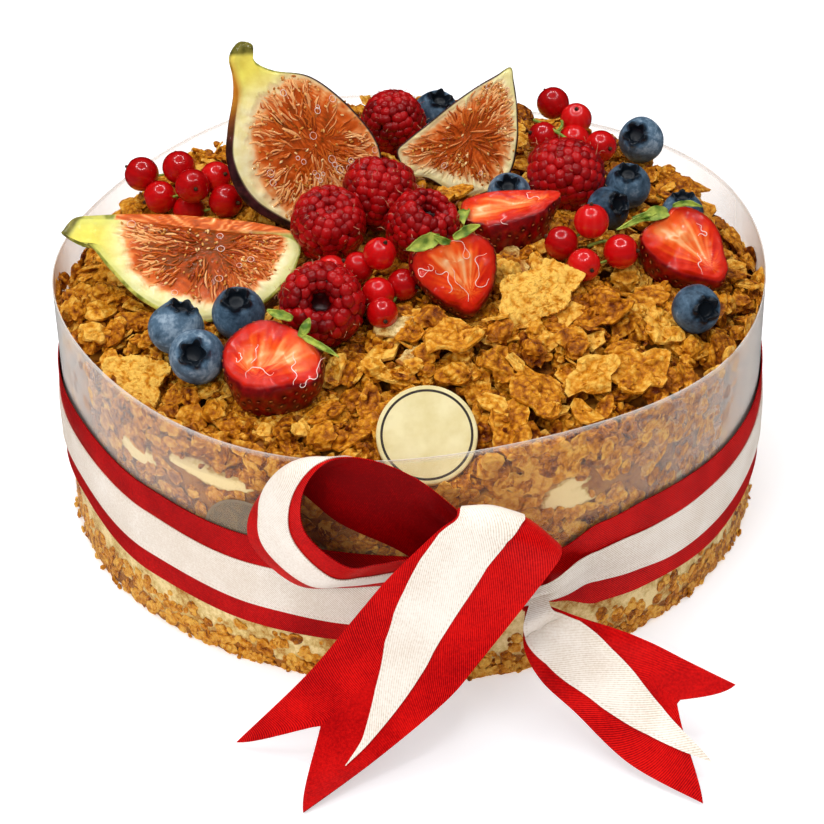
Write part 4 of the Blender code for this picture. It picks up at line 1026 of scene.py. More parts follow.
def mouldedWhiteChocolate():
    finish, tree = newFinish("mouldedWhiteChocolate")
    place = addNode(tree, "TexCoord", output=3)
    radial = addNode(tree, "Attribute", attribute_name="radial", output=2)
    mottle = addNode(tree, "TexNoise", {"Vector": place, "Scale": grain(6.0), "Detail": 4.0})
    colour = addNode(tree, "ValToRGB", {"Fac": mottle}, stops=((0.3, "#DACA90"), (0.65, "#E9DDAC")))
    inLine = addNode(tree, "Math", {0: radial, 1: disc["ring"] * disc["radius"], 2: disc["line"]},
                     operation="COMPARE")
    colour = addNode(tree, "Mix", {0: inLine, 6: colour, 7: "#2A1B12"}, output=2, data_type="RGBA")
    bump = addNode(tree, "Bump", {"Height": mottle, "Strength": 0.2, "Distance": 0.3 * mm})
    return wear(finish, addNode(tree, "BsdfPrincipled", {
        "Base Color": colour, "Roughness": 0.38, "Normal": bump, "Subsurface Weight": 0.12,
        "Subsurface Radius": (0.003, 0.0025, 0.001), "Subsurface Scale": 0.5}))


def addDisc():
    half, radius = disc["thick"] / 2, disc["radius"]
    edge = [(radius - 0.5 + 0.5 * math.sin(turn), half - 0.5 + 0.5 * math.cos(turn))
            for turn in np.linspace(0, math.pi / 2, 5)]
    flat = [(radius * share, half) for share in (0.2, 0.4, 0.6, 0.8, 0.86, 0.92)]
    upper = [(0, half)] + flat + edge
    outline = [(r, -h) for r, h in upper] + [(r, h) for r, h in upper[::-1]]
    points, quads, caps = latheShape(outline, 96)
    radial = np.hypot(points[:, 0], points[:, 1])
    radial[points[:, 2] < half - 0.01] = 0
    lean = math.radians(disc["lean"])
    axes = turned((0, -math.sin(lean), math.cos(lean)))
    mesh = newMesh("chocolateDisc", points @ axes.T + disc["centre"], quads, caps)
    finish = mouldedWhiteChocolate()
    addPiece("chocolateDisc", mesh, finish, "chocolate_disc", {"radial": radial}, 60)


# Raspberries: a cup of drupelets, each a little bag of juice with a fine down on it

raspberries = {  # at, lift over the heap, axis, radius, and whether the cup's hollow shows
    "raspberry_back": ((-4, 46), 11, (0.1, 0.2, -1), 9.8, "open"),
    "raspberry_left": ((-24, -14.5), 11, (0.1, -0.45, 0.9), 10.4, "closed"),
    "raspberry_middle": ((-8.6, 0), 12.5, (0.2, 0.6, 0.8), 10.4, "closed"),
    "raspberry_right": ((4.3, -16), 9.5, (0.35, -0.2, 0.9), 10.2, "open"),
    "raspberry_front": ((-25.5, -49), 8, (0, -0.8, 0.6), 11.6, "open"),
    "raspberry_far_right": ((49, 16), 8.5, (-0.95, 0.2, -0.2), 11.0, "open")}
berry = {"open": ((0.43, 0.5), (0.54, 0.80), (0.74, 0.78)), "closed": ((0.04, 0.5), (0.2, 0.76), (0.66, 0.8)),
         "side": ((0.92, 0.52), (1.0, 0.1), (0.94, -0.35), (0.74, -0.75), (0.42, -1.0), (0.06, -1.08)),
         "core": ((0, -1.0), (0.4, -0.9), (0.68, -0.66), (0.87, -0.3), (0.92, 0.1), (0.82, 0.5)),
         "openCore": ((0.6, 0.78), (0.45, 0.8), (0.34, 0.55), (0.2, 0.42), (0, 0.38)),
         "closedCore": ((0.5, 0.7), (0.2, 0.72), (0, 0.7)),
         "spacing": 0.275, "size": 0.202, "hairs": 0.32}


def ripeRaspberry():
    finish, tree = newFinish("ripeRaspberryDrupelets")
    place = addNode(tree, "TexCoord", output=3)
    tone, depth = (addNode(tree, "Attribute", attribute_name=label, output=2) for label in ("tone", "depth"))
    fine = addNode(tree, "TexNoise", {"Vector": place, "Scale": grain(0.8), "Detail": 3.0})
    # depth paints each drupelet darker towards its base and the core dark: painted shade between the
    # drupelets and in the hollow
    mixed = depth
    for part, weight in ((fine, 0.35), (tone, 0.5)):
        mixed = addNode(tree, "Math", {0: part, 1: weight, 2: mixed}, operation="MULTIPLY_ADD")
    colour = addNode(tree, "ValToRGB", {"Fac": mixed}, stops=(
        (0.05, "#2A0001"), (0.4, "#820104"), (0.8, "#B0070B")))
    bump = addNode(tree, "Bump", {"Height": fine, "Strength": 0.2, "Distance": 0.2 * mm})
    return wear(finish, addNode(tree, "BsdfPrincipled", {
        "Base Color": colour, "Roughness": 0.3, "Normal": bump, "Specular IOR Level": 0.38}))


def driedStyle():  # each drupelet keeps the thin brown thread of its flower
    return mottledFinish("driedRaspberryHair", 1.0, 2.0, ((0.35, "#9A3B2A"), (0.65, "#E8B98C")),
                         {"Roughness": 0.6})


def addRaspberries():
    rng = np.random.default_rng(21)
    grainPoints, grainQuads, grainCaps = ballShape(12, 7)
    heap, hairs = Bin(), Bin()
    for at, lift, axis, size, top in raspberries.values():
        axes, centre = turned(axis, (0.3, 0.9, 0.2)), overHeap(at, lift)
        outline = profile(berry[top] + berry["side"], 60)
        lengthAt = lengthsAlong(outline)
        points, quads, caps = latheShape(profile(berry["core"] + berry[top + "Core"], 34), 40)
        # the core is painted dark: painted shade in the berry's hollow
        heap.put((points * size) @ axes.T + centre, quads, caps, tone=0.1, depth=-0.16)
        rings = int(lengthAt[-1] / (berry["spacing"] * 0.84)) + 1
        for ring in range(rings):
            place = lengthAt[-1] * ring / (rings - 1)
            radius, height = [np.interp(place, lengthAt, outline[:, k]) for k in (0, 1)]
            count = max(1, round(math.tau * radius / berry["spacing"]))
            for index in range(count):
                turn = (index + 0.5 * (ring % 2)) / count * math.tau + rng.normal(0, 0.07)
                out = np.array((math.cos(turn), math.sin(turn), 0))
                spot = out * radius * (0.92 + 0.05 * rng.random()) + (0, 0, height * 0.95)
                away = spot - (0, 0, 0.1 * height)
                local = turned(away, rng.normal(0, 1, 3))
                wide = rng.uniform(0.92, 1.12, 2)
                bead = grainPoints * np.array((wide[0], wide[1], 0.78)) * berry["size"]
                # depth: each drupelet painted darker towards its base, as painted shade between the drupelets
                heap.put(((bead @ local.T + spot) * size) @ axes.T + centre, grainQuads, grainCaps,
                         tone=rng.random(), depth=grainPoints[:, 2] * 0.16 + 0.02)
                if rng.random() < berry["hairs"]:
                    root = spot + local[:, 2] * berry["size"] * 0.86
                    tip = root + (local[:, 2] * 0.5 + rng.normal(0, 0.5, 3)) * 0.17
                    path = bentPath(root, tip, rng.normal(0, 0.03, 3), 5) * size
                    made, sides, ends = tubeShape(path, (0.09, 0.08, 0.07, 0.06, 0.04), 4)
                    hairs.put(made @ axes.T + centre, sides, ends)
    heap.piece("raspberryDrupelets", ripeRaspberry(), list(raspberries), "raspberry")
    hairs.piece("raspberryHairs", driedStyle(), list(raspberries))


# Blueberries: dark skin under a waxy bloom, with a five-pointed crown round a pit

blueberries = {  # at, lift over the heap, axis through the crown, radius
    "blueberry_1": ((-68, -51.5), 8, (0.3, 0.1, 0.95), 8.0),
    "blueberry_2": ((-50, -49), 8, (0, -0.4, 0.9), 7.8),
    "blueberry_3": ((-61.2, -66), 9, (-0.05, -0.75, 0.65), 8.0),
    "blueberry_4": ((10, 61), 8, (0.2, -0.3, 0.9), 7.4),
    "blueberry_5": ((31.5, 8), 6, (-0.1, -0.5, 0.85), 6.9),
    "blueberry_6": ((76, 48), 8, (-0.35, -0.65, 0.67), 7.4),
    "blueberry_7": ((68.5, 13.5), 8, (0, -0.35, 0.93), 7.2),
    "blueberry_8": ((61.5, -1), 8, (0.5, -0.6, 0.6), 6.6),
    "blueberry_9": ((85, 5), 6, (0, 0, 1), 6.4),
    "blueberry_10": ((84, -46), 7.5, (0.35, -0.8, 0.45), 7.2)}
blueOutline = ((0, -0.95), (0.25, -0.93), (0.55, -0.8), (0.8, -0.58), (0.95, -0.32), (1, 0), (0.95, 0.28),
               (0.8, 0.58), (0.62, 0.8), (0.5, 0.9), (0.44, 0.955), (0.37, 0.9), (0.31, 0.72), (0.2, 0.66),
               (0, 0.64))


def bloomedSkin():
    finish, tree = newFinish("blueberrySkinWithBloom")
    place = addNode(tree, "TexCoord", output=3)
    crown, tone = (addNode(tree, "Attribute", attribute_name=label, output=2) for label in ("crown", "tone"))
    cloud = addNode(tree, "TexNoise", {"Vector": place, "Scale": grain(6.0), "Detail": 5.0, "Roughness": 0.6,
                                       "Distortion": 0.6})
    fine = addNode(tree, "TexNoise", {"Vector": place, "Scale": grain(1.0), "Detail": 3.0})
    bloom = cloud
    for part, weight in ((tone, 0.2), (fine, 0.35), (crown, -0.7)):
        bloom = addNode(tree, "Math", {0: part, 1: weight, 2: bloom}, operation="MULTIPLY_ADD")
    colour = addNode(tree, "ValToRGB", {"Fac": bloom}, stops=(
        (0.34, "#10171F"), (0.54, "#273D50"), (0.76, "#506A80"), (0.95, "#94A6B6")))
    dull = addNode(tree, "MapRange", {0: bloom, 1: 0.4, 2: 0.9, 3: 0.38, 4: 0.68})
    bump = addNode(tree, "Bump", {"Height": fine, "Strength": 0.15, "Distance": 0.2 * mm})
    return wear(finish, addNode(tree, "BsdfPrincipled", {
        "Base Color": colour, "Roughness": dull, "Normal": bump, "Specular IOR Level": 0.35}))


def addBlueberries():
    rng = np.random.default_rng(4)
    heap = Bin()
    for name, (at, lift, axis, size) in blueberries.items():
        points, quads, caps = latheShape(profile(blueOutline, 56), 60)
        angle = np.arctan2(points[:, 1], points[:, 0])
        radial = np.hypot(points[:, 0], points[:, 1])
        crown = smoothstep(0.78, 0.93, points[:, 2]) * (radial < 0.66)
        inside = (radial < 0.42) & (points[:, 2] > 0)
        star = np.cos(5 * angle + rng.uniform(0, 6)) + 0.5 * rough(points, 0.14, 1.0, len(name))
        points[:, :2] *= (1 + 0.17 * crown * star)[:, None]
        points[:, 2] += crown * (0.07 * star - 0.02)
        points *= (1 + rough(points, 0.9, 0.05, rng.uniform(0, 9)))[:, None]
        axes = turned(axis, (0.3, 0.9, 0.2))
        heap.put((points * size) @ axes.T + overHeap(at, lift), quads, caps,
                 crown=np.maximum(crown * 0.5, inside * 0.9), tone=rng.uniform(-0.5, 0.5))
    heap.piece("blueberrySkins", bloomedSkin(), list(blueberries), "blueberry")


# Red currants: tight translucent skins on a thin green stalk, each with its dried flower

currants = {
    "currants_left": {"radius": 5.4, "berries": ((-84, 30, 12), (-72, 29, 12), (-60, 23, 9.5),
                                                 (-67, 17, 11), (-78, 23, 6), (-69, 20, 1), (-57, 17, 4))},
    "currants_middle": {"radius": 4.9, "berries": ((-8.5, -34, 13), (-15, -33, 8), (-23, -29, 5),
                                                   (-9.3, -43, 6), (-2, -38.5, 5.5), (-8, -50.5, 5))},
    "currants_back": {"radius": 5.2, "berries": ((48, 57, 14), (55, 50, 12), (44, 43, 8), (54, 44, 7),
                                                 (62, 37, 9), (58, 37, 5))},
    "currants_right": {"radius": 5.3, "berries": ((55, -17, 13), (46, -20, 7), (52, -29, 6),
                                                  (63.5, -22.5, 7))}}
bareStalks = (((41, 46, 102.5), (55.5, 36, 96.5), (0, 0, 1)), ((48, 42, 100), (50, 46, 102), (1, 0, 0)),
              ((54, -17.5, 92), (66, -13, 90), (0, 0, 1.5)), ((61, -16, 91), (66, -20, 88), (0, 0, 0)))


def currantSkin():
    finish, tree = newFinish("redCurrantSkin")
    stripe, tone = (addNode(tree, "Attribute", attribute_name=label, output=2)
                    for label in ("stripe", "tone"))
    mixed = addNode(tree, "Math", {0: stripe, 1: 0.16, 2: tone}, operation="MULTIPLY_ADD")
    colour = addNode(tree, "ValToRGB", {"Fac": mixed}, stops=(
        (0.2, "#9C0205"), (0.6, "#CC080A"), (1.0, "#DC3028")))
    return wear(finish, addNode(tree, "BsdfPrincipled", {
        "Base Color": colour, "Roughness": 0.25, "Specular IOR Level": 0.4, "Coat Weight": 0.8,
        "Coat Roughness": 0.04}))


def greenStalk(name, pale="#9DB04A", deep="#5D7A22"):  # soft stalks, leaves and seeds
    return mottledFinish(name, 3.0, 3.0, ((0.35, deep), (0.65, pale)), {"Roughness": 0.5})


def driedCalyx():  # the flower dries to a dark papery tuft
    return mottledFinish("driedFlowerEnd", 0.8, 2.0, ((0.3, "#1E0F08"), (0.7, "#5A3A1E")), {"Roughness": 0.8})


def addCurrants():
    rng = np.random.default_rng(31)
    skins, stalks, ends = Bin(), Bin(), Bin()
    ball, quads, caps = ballShape(36, 24)
    for values in currants.values():
        places = [overHeap(spot[:2], spot[2]) for spot in values["berries"]]
        middle = np.mean(places, axis=0)
        for index, spot in enumerate(places):
            radius = values["radius"] * (1 - 0.03 * (index % 3)) * 1.01
            away = spot - middle + rng.normal(0, 3, 3) + (0, -4, 4)
            axes = turned(away, rng.normal(0, 1, 3))
            turn = np.arctan2(ball[:, 1], ball[:, 0])
            points = ball.copy()
            points[:, 2] -= 0.12 * np.exp(-((1 - ball[:, 2]) / 0.03)) - 0.02
            stripe = 0.5 + 0.5 * np.cos(12 * turn) * np.hypot(ball[:, 0], ball[:, 1])
            skins.put(points * radius @ axes.T + spot, quads, caps, stripe=stripe, tone=rng.uniform(0.2, 0.6))
            tip = spot + axes[:, 2] * radius * 0.86
            ends.put(*tubeShape([tip, tip + axes[:, 2] * 0.8, tip + axes[:, 2] * 1.3], (0.75, 0.6, 0.25), 7))
        for start, end in zip(places, places[1:]):
            stalks.put(*tubeShape(bentPath(start, end, (0, 0, -1.5)), 0.4))
    for start, end, bow in bareStalks:
        stalks.put(*tubeShape(bentPath(start, end, bow), 0.5))
    skins.piece("currantSkins", currantSkin(), list(currants), "currant")
    stalks.piece("currantStalks", greenStalk("greenCurrantStalk"), list(currants))
    ends.piece("currantFlowerEnds", driedCalyx(), list(currants))


# Halved fruit: a cut face, its skin rolling away from the face's edge, and a round back

def smoothLoop(rows, count):  # a closed smooth curve through rows of numbers
    rows = np.array(rows, float)
    padded = np.concatenate([rows[-1:], rows, rows[:2]])
    places = np.arange(count) / count * len(rows)
    index = places.astype(int)
    return between(*(padded[index + k] for k in range(4)), (places - index)[:, None])


def signedDepth(points, loop):  # how far inside a closed loop each point lies, negative outside
    loop = np.array(loop, float)
    after = np.roll(loop, -1, axis=0)
    span = after - loop
    gap = points[:, None] - loop[None]
    share = np.clip((gap * span).sum(axis=2) / (span ** 2).sum(axis=1), 0, 1)
    near = np.linalg.norm(gap - share[..., None] * span, axis=2).min(axis=1)
    x, y = points[:, :1], points[:, 1:]
    crosses = (loop[:, 1] > y) != (after[:, 1] > y)
    slope = np.where(np.abs(span[:, 1]) < 1e-9, 1e-9, span[:, 1])
    inside = (crosses & (x < loop[:, 0] + (y - loop[:, 1]) / slope * span[:, 0])).sum(axis=1) % 2
    return np.where(inside == 1, near, -near)


def cutFruit(values, faceRows, count, skinRows=12, backRows=14):
    loop = smoothLoop(values["outline"], count)
    outer, inset = loop[:, :2], np.maximum(loop[:, 2], 0.25)
    turn = np.sum(outer[:, 0] * np.roll(outer[:, 1], -1) - np.roll(outer[:, 0], -1) * outer[:, 1])
    if turn < 0:
        outer, inset = outer[::-1], inset[::-1]
    start, end = np.array(values["spine"], float)
    span = end - start
    share = np.clip((outer - start) @ span / span.dot(span), 0, 1)
    target = start + share[:, None] * span
    reach = np.linalg.norm(outer - target, axis=1)
    toward = (target - outer) / reach[:, None]
    inner = outer + toward * inset[:, None]
    edge = inner - toward * (inset * values["roll"])[:, None]
    depth = inset * ((1 - values["roll"]) * values["drop"] + 0.5)
    half = np.array([reach[np.abs(share - s) < 0.12].mean() for s in share]) * values["back"]
    rows, zone, rim = [], [], []
    for s in np.linspace(0, 1, faceRows) ** 0.8:
        flat = target + (inner - target) * s
        rows.append(np.stack([flat[:, 0], np.zeros(count), flat[:, 1]], axis=1))
        zone.append(np.zeros(count))
        rim.append((1 - s) * np.linalg.norm(inner - target, axis=1))
    for t in np.linspace(0, math.pi / 2, skinRows)[1:]:
        flat = inner + (edge - inner) * math.sin(t)
        rows.append(np.stack([flat[:, 0], -depth * (1 - math.cos(t)), flat[:, 1]], axis=1))
        zone.append(np.full(count, t / (math.pi / 2)))
        rim.append(-inset * math.sin(t))
    for t in np.linspace(0, math.pi / 2, backRows)[1:]:
        flat = target + (edge - target) * math.cos(t)
        rows.append(np.stack([flat[:, 0], -depth - half * math.sin(t), flat[:, 1]], axis=1))
        zone.append(np.full(count, 1 + t))
        rim.append(-inset - half * t)
    return np.array(rows), np.array(zone).ravel(), np.array(rim).ravel()


def weld(piece):  # the two sides of a cut face meet along its middle line
    bm = bmesh.new()
    bm.from_mesh(piece.data)
    bmesh.ops.remove_doubles(bm, verts=bm.verts, dist=0.01 * mm)
    bm.to_mesh(piece.data)
    bm.free()


strawberries = {
    "strawberry_front": {
        "at": (-40.5, -76), "lift": 9, "axis": (0.85, 0.35, 0.4), "face": (-0.15, -0.55, 0.8), "roll": 0.55,
        "drop": 2.5, "back": 0.7, "spine": ((3, -4), (0, 6)), "pale": (0, 12),
        "outline": ((19.0, -3.0, 3.9), (16.7, 6.4, 1.7), (9.2, 12.7, 1.0), (0.7, 15.5, 0.9),
                    (-6.4, 15.4, 1.2), (-12.3, 10.4, 2.6), (-13.7, 2.5, 6.8), (-11.7, -6.9, 9.2),
                    (-5.4, -14.5, 8.7), (1.4, -15.2, 7.0), (8.2, -12.6, 3.6), (14.8, -8.4, 2.7)),
        "glaze": ((-9, 6, 250, 15), (-8, 4, 20, 12), (2, -6, 10, 12), (9, 2, 200, 7), (10, -4, 120, 6)),
        "leaves": ((3.5, 12.9, 6.4, 18.3, 1.5), (4.0, 14.3, -8.8, 18.3, 0.9),
                   (9.1, 13.6, 16.2, 10.2, 1.4))},
    "strawberry_middle": {
        "at": (16, -41), "lift": 9, "axis": (-0.35, 0.35, 0.8), "face": (0.1, -0.75, 0.65), "roll": 0.7,
        "drop": 5.0, "back": 0.8, "spine": ((1, -5), (0, 5)), "pale": (1, 12),
        "outline": ((11.4, 13.2, 1.4), (14.0, 8.1, 1.2), (12.7, 1.9, 1.6), (9.9, -6.5, 4.2),
                    (5.8, -12.1, 4.2), (0.7, -13.8, 4.1), (-4.9, -11.0, 3.6), (-9.7, -5.9, 3.2),
                    (-11.8, -0.5, 1.7), (-12.7, 5.2, 1.3), (-9.6, 9.9, 0.7), (-4.9, 12.5, 0.9),
                    (1.0, 12.3, 0.6), (6, 12.3, 0.6)),
        "glaze": ((-9, 4, 350, 18), (8, 8, 230, 14), (-4, 9, 290, 16), (6, -2, 180, 12), (2, 4, 250, 12)),
        "leaves": ((2.1, 13.1, 12.4, 15.4, 2.3), (-1.7, 12.7, -10.3, 11.8, 1.4),
                   (-0.4, 11.4, 3.7, 15.8, 1.1))},
    "strawberry_back": {
        "at": (31, -10), "lift": 12, "axis": (-1, -0.2, -0.05), "face": (0.02, -0.1, 1), "roll": 0.22,
        "drop": 0.83, "back": 0.5, "spine": ((-2, -9), (0, 8)), "pale": (2, 13),
        "outline": ((0.4, 16.2, 1.6), (-7.4, 13.7, 0.6), (-10.6, 8.2, 0.9), (-10.7, 0.5, 0.9),
                    (-7.6, -11.3, 0.8), (-3.9, -17.3, 0.6), (3.4, -15.3, 4.1), (10.3, -10.7, 7.0),
                    (17.3, -4.4, 12.2), (21.9, 3.6, 15.9), (20.6, 9.8, 14.4), (11.4, 13.1, 7.3),
                    (5, 15.3, 3.0)),
        "glaze": ((-6, -8, 80, 9), (4, 2, 100, 6)), "leaves": ((-2.2, 13.6, 5.6, 15.2, 1.8),)},
    "strawberry_right": {
        "at": (85.5, -21), "lift": 8.5, "axis": (-0.7, 0.35, 0.5), "face": (0.15, -0.65, 0.7), "roll": 0.6,
        "drop": 3.6, "back": 0.7, "spine": ((-1, -7), (-1, 6)), "pale": (-1, 13),
        "outline": ((6.2, 15.9, 0.7), (1.9, 15.8, 0.6), (-3.2, 13.8, 0.4), (-8.0, 13.6, 0.6),
                    (-11.1, 9.7, 0.5), (-12.6, 3.8, 0.6), (-11.6, -2.1, 1.0), (-7.7, -7.2, 1.2),
                    (-3.7, -12.2, 1.2), (2.1, -14.1, 2.8), (6.9, -11.9, 4.8), (10.9, -6.4, 6.4),
                    (13.6, -0.6, 6.2), (14.1, 5.2, 5.6), (12.0, 10.7, 3.8), (9.2, 14.2, 1.8)),
        "glaze": ((-8, 5, 300, 9), (3, -6, 60, 8)),
        "leaves": ((-4.5, 13.3, 3.3, 18.6, 2.3), (0.0, 16.0, 10.1, 22.7, 0.9), (-3.8, 15.0, 3.9, 21.3, 1.0),
                   (-7.1, 13.7, -12.9, 6.7, 0.9))}}


def glazedStrawberry():  # wet cut flesh runs from white at the stalk through orange to a red rim
    finish, tree = newFinish("glazedCutStrawberry")
    tone, skin, pit = (addNode(tree, "Attribute", attribute_name=label, output=2)
                       for label in ("tone", "skin", "pit"))
    place = addNode(tree, "TexCoord", output=3)
    mottle = addNode(tree, "TexNoise", {"Vector": place, "Scale": grain(2.5), "Detail": 4.0})
    glaze = addNode(tree, "TexNoise", {"Vector": place, "Scale": grain(6.5), "Detail": 1.0,
                                       "Distortion": 1.4})
    mixed = addNode(tree, "Math", {0: mottle, 1: 0.26, 2: tone}, operation="MULTIPLY_ADD")
    flesh = addNode(tree, "ValToRGB", {"Fac": mixed}, stops=(
        (0.12, "#B80C00"), (0.3, "#D82604"), (0.52, "#EE5614"), (0.78, "#F8904E"), (1.05, "#FCCB98")))
    # pit darkens the skin round each seed: painted shade in the seed pits
    deep = addNode(tree, "Math", {0: pit, 1: -0.4, 2: mottle}, operation="MULTIPLY_ADD")
    rind = addNode(tree, "ValToRGB", {"Fac": deep}, stops=(
        (0.1, "#2C0001"), (0.45, "#700002"), (0.75, "#9C0403")))
    colour = addNode(tree, "Mix", {0: skin, 6: flesh, 7: rind}, output=2, data_type="RGBA")
    wet = addNode(tree, "Bump", {"Height": glaze, "Strength": 0.9, "Distance": 2.2 * mm})
    grit = addNode(tree, "Bump", {"Height": mottle, "Strength": 0.25, "Distance": 0.5 * mm})
    return wear(finish, addNode(tree, "BsdfPrincipled", {
        "Base Color": colour, "Roughness": 0.4, "Normal": grit, "Coat Normal": wet, "Coat Weight": 0.6,
        "Coat Roughness": 0.03, "Specular IOR Level": 0.2}))


def leafShape(length, width, seed, rows=16, columns=7):
    grid = []
    for row in range(rows):
        share = row / (rows - 1)
        spread = width * math.sin(math.pi * (0.15 + 0.84 * share)) * (1 + 0.15 * swirl(share * 6, seed))
        for column in range(columns):
            across = column / (columns - 1) * 2 - 1
            curl = 1.1 * math.sin(share * 3) + 0.6 * across * across + 0.5 * swirl(share * 4, across, seed)
            grid.append((length * share, across * spread + 0.7 * math.sin(share * 3 + seed), curl))
    return shellOf(np.array(grid).reshape(rows, columns, 3), 0.35)


def strawberryTone(x, z, rim, values):  # from 0 at the red rim to 1 where the flesh is white
    widest = rim.max()
    inward = rim / widest
    angle = np.arctan2(z - values["spine"][0][1], x)
    veins, fine = rays(angle, inward, 5, 1.3), rays(angle, inward, 14, 2)
    stalk = np.hypot(x - values["pale"][0], (z - values["pale"][1]) * 0.8)
    tone = 0.08 + 0.42 * smoothstep(0.0, 0.75, inward) + 0.32 * (1 - smoothstep(1.0, 9.0, stalk))
    tone += (0.24 * veins + 0.24 * fine) * smoothstep(0.05, 0.4, inward)
    return tone + 0.14 * np.exp(-((inward - 0.72) / 0.05) ** 2)


def cutRelief(points, values):  # how the cut face swells, with a hollow heart
    hollow = ((points[:, 0] - values["spine"][0][0]) / 2.0) ** 2 + (points[:, 2] / 6.0) ** 2
    return rough(points, 6, 0.9) + rough(points, 2.2, 0.25) + 0.35 - 0.8 * np.exp(-hollow)


def paintedGlazeGlint():  # clear glaze sets in thin ridges; they are coloured near white, a painted glint for the lamp's white lines on them
    return mottledFinish("glazeRidgePaintedGlint", 3.0, 2.0, ((0.35, "#FFB9A0"), (0.6, "#FFF4EC")),
                         {"Roughness": 0.15, "Coat Weight": 0.5})


def glazeRidge(rng, start, angle, length, turn=0.75, steps=40):  # a thin ridge that wanders over a face
    spots, where = [], np.array(start, float)
    shift = rng.uniform(0, 90)
    for step in range(steps):
        spots.append((where[0], 0, where[1]))
        angle += turn * (swirl(step * 0.17, shift) + 0.5 * swirl(step * 0.5, shift + 9))
        where += np.array((math.cos(angle), math.sin(angle))) * length / steps
    return np.array(spots)


strawberryGrid = {"faceRows": 44, "columns": 200, "seedStep": 3.0, "seedGap": 2.3}


def seedPits(grid):  # places of the seeds on the skin, row by row and never too near one another
    pits, columns = [], strawberryGrid["columns"]
    for row in range(strawberryGrid["faceRows"] + 4, len(grid) - 6):
        reach = np.linalg.norm(grid[row] - np.roll(grid[row], 1, axis=0), axis=1).sum()
        count = int(reach / strawberryGrid["seedStep"])
        for index in range(count):
            spot = grid[row, int((index + 0.5 * (row % 2)) / count * columns) % columns]
            if not pits or np.min(np.linalg.norm(np.array(pits) - spot, axis=1)) > strawberryGrid["seedGap"]:
                pits.append(spot)
    return np.array(pits)


def addStrawberries():
    rng = np.random.default_rng(8)
    bodies, leaves, seeds, ridges = Bin(), Bin(), Bin(), Bin()
    seedPoints, seedQuads, seedCaps = ballShape(7, 5)
    for name, values in strawberries.items():
        axes = turned(values["axis"], values["face"])
        centre = overHeap(values["at"], values["lift"])
        grid, zone, rim = cutFruit(values, strawberryGrid["faceRows"], strawberryGrid["columns"])
        points = grid.reshape(-1, 3).copy()
        tone = strawberryTone(points[:, 0], points[:, 2], np.maximum(rim, 0), values)
        points[:, 1] += smoothstep(0.0, 1.2, rim) * cutRelief(points, values)
        pits = seedPits(grid)
        near = np.array([np.min(np.linalg.norm(pits - point, axis=1)) for point in points[zone > 0]])
        # pit: the seed pits, pressed in and painted darker as shade
        pit = np.zeros(len(points))
        pit[zone > 0] = np.exp(-(near / 0.75) ** 2)
        middle = np.array((values["spine"][0][0], -2.0, 0))
        inward = middle - points
        inward /= np.linalg.norm(inward, axis=1, keepdims=True)
        points += inward * (0.5 * pit)[:, None]
        skin = 1 - smoothstep(-0.6, 0.9, rim)
        bodies.put(points @ axes.T + centre, gridQuads(*grid.shape[:2], True), tone=tone, skin=skin, pit=pit)
        for spot in pits:
            local = turned(spot - middle, (0, 0, 1))
            made = (seedPoints * (0.32, 0.55, 0.2)) @ local.T + spot + (middle - spot) * 0.012
            seeds.put(made @ axes.T + centre, seedQuads, seedCaps)
        for x, z, degrees, length in values["glaze"]:
            path = glazeRidge(rng, (x, z), math.radians(degrees), length)
            path[:, 1] = cutRelief(path, values) + 0.04
            made, quads, caps = tubeShape(path, 0.13 * np.sin(np.linspace(0.2, 2.94, len(path))) ** 0.5, 5)
            ridges.put(made @ axes.T + centre, quads, caps)
        for index, (x0, z0, x1, z1, width) in enumerate(values["leaves"]):
            span = np.array((x1 - x0, 0, z1 - z0))
            length = np.linalg.norm(span)
            ahead = span / length
            local = np.stack([ahead, np.cross((0, 1, 0), ahead), (0, 1, 0)], axis=1)
            made, faces = leafShape(length, width, index + len(name))
            leaves.put((made @ local.T + (x0, 0.6, z0)) @ axes.T + centre, faces)
    nodes = list(strawberries)
    weld(bodies.piece("strawberryHalves", glazedStrawberry(), nodes, "strawberry"))
    leaves.piece("strawberryLeaves", greenStalk("freshCalyxLeaf", "#B4C04E", "#4E7018"), nodes, sharp=50)
    ridges.piece("strawberryGlazePaintedGlints", paintedGlazeGlint(), nodes)
    seeds.piece("strawberrySeeds", greenStalk("paleStrawberrySeed", "#B8662A", "#7E2410"), nodes)


# Figs: thin dark to green skin, a cream rind, and a red heart of threads and seeds under a glaze

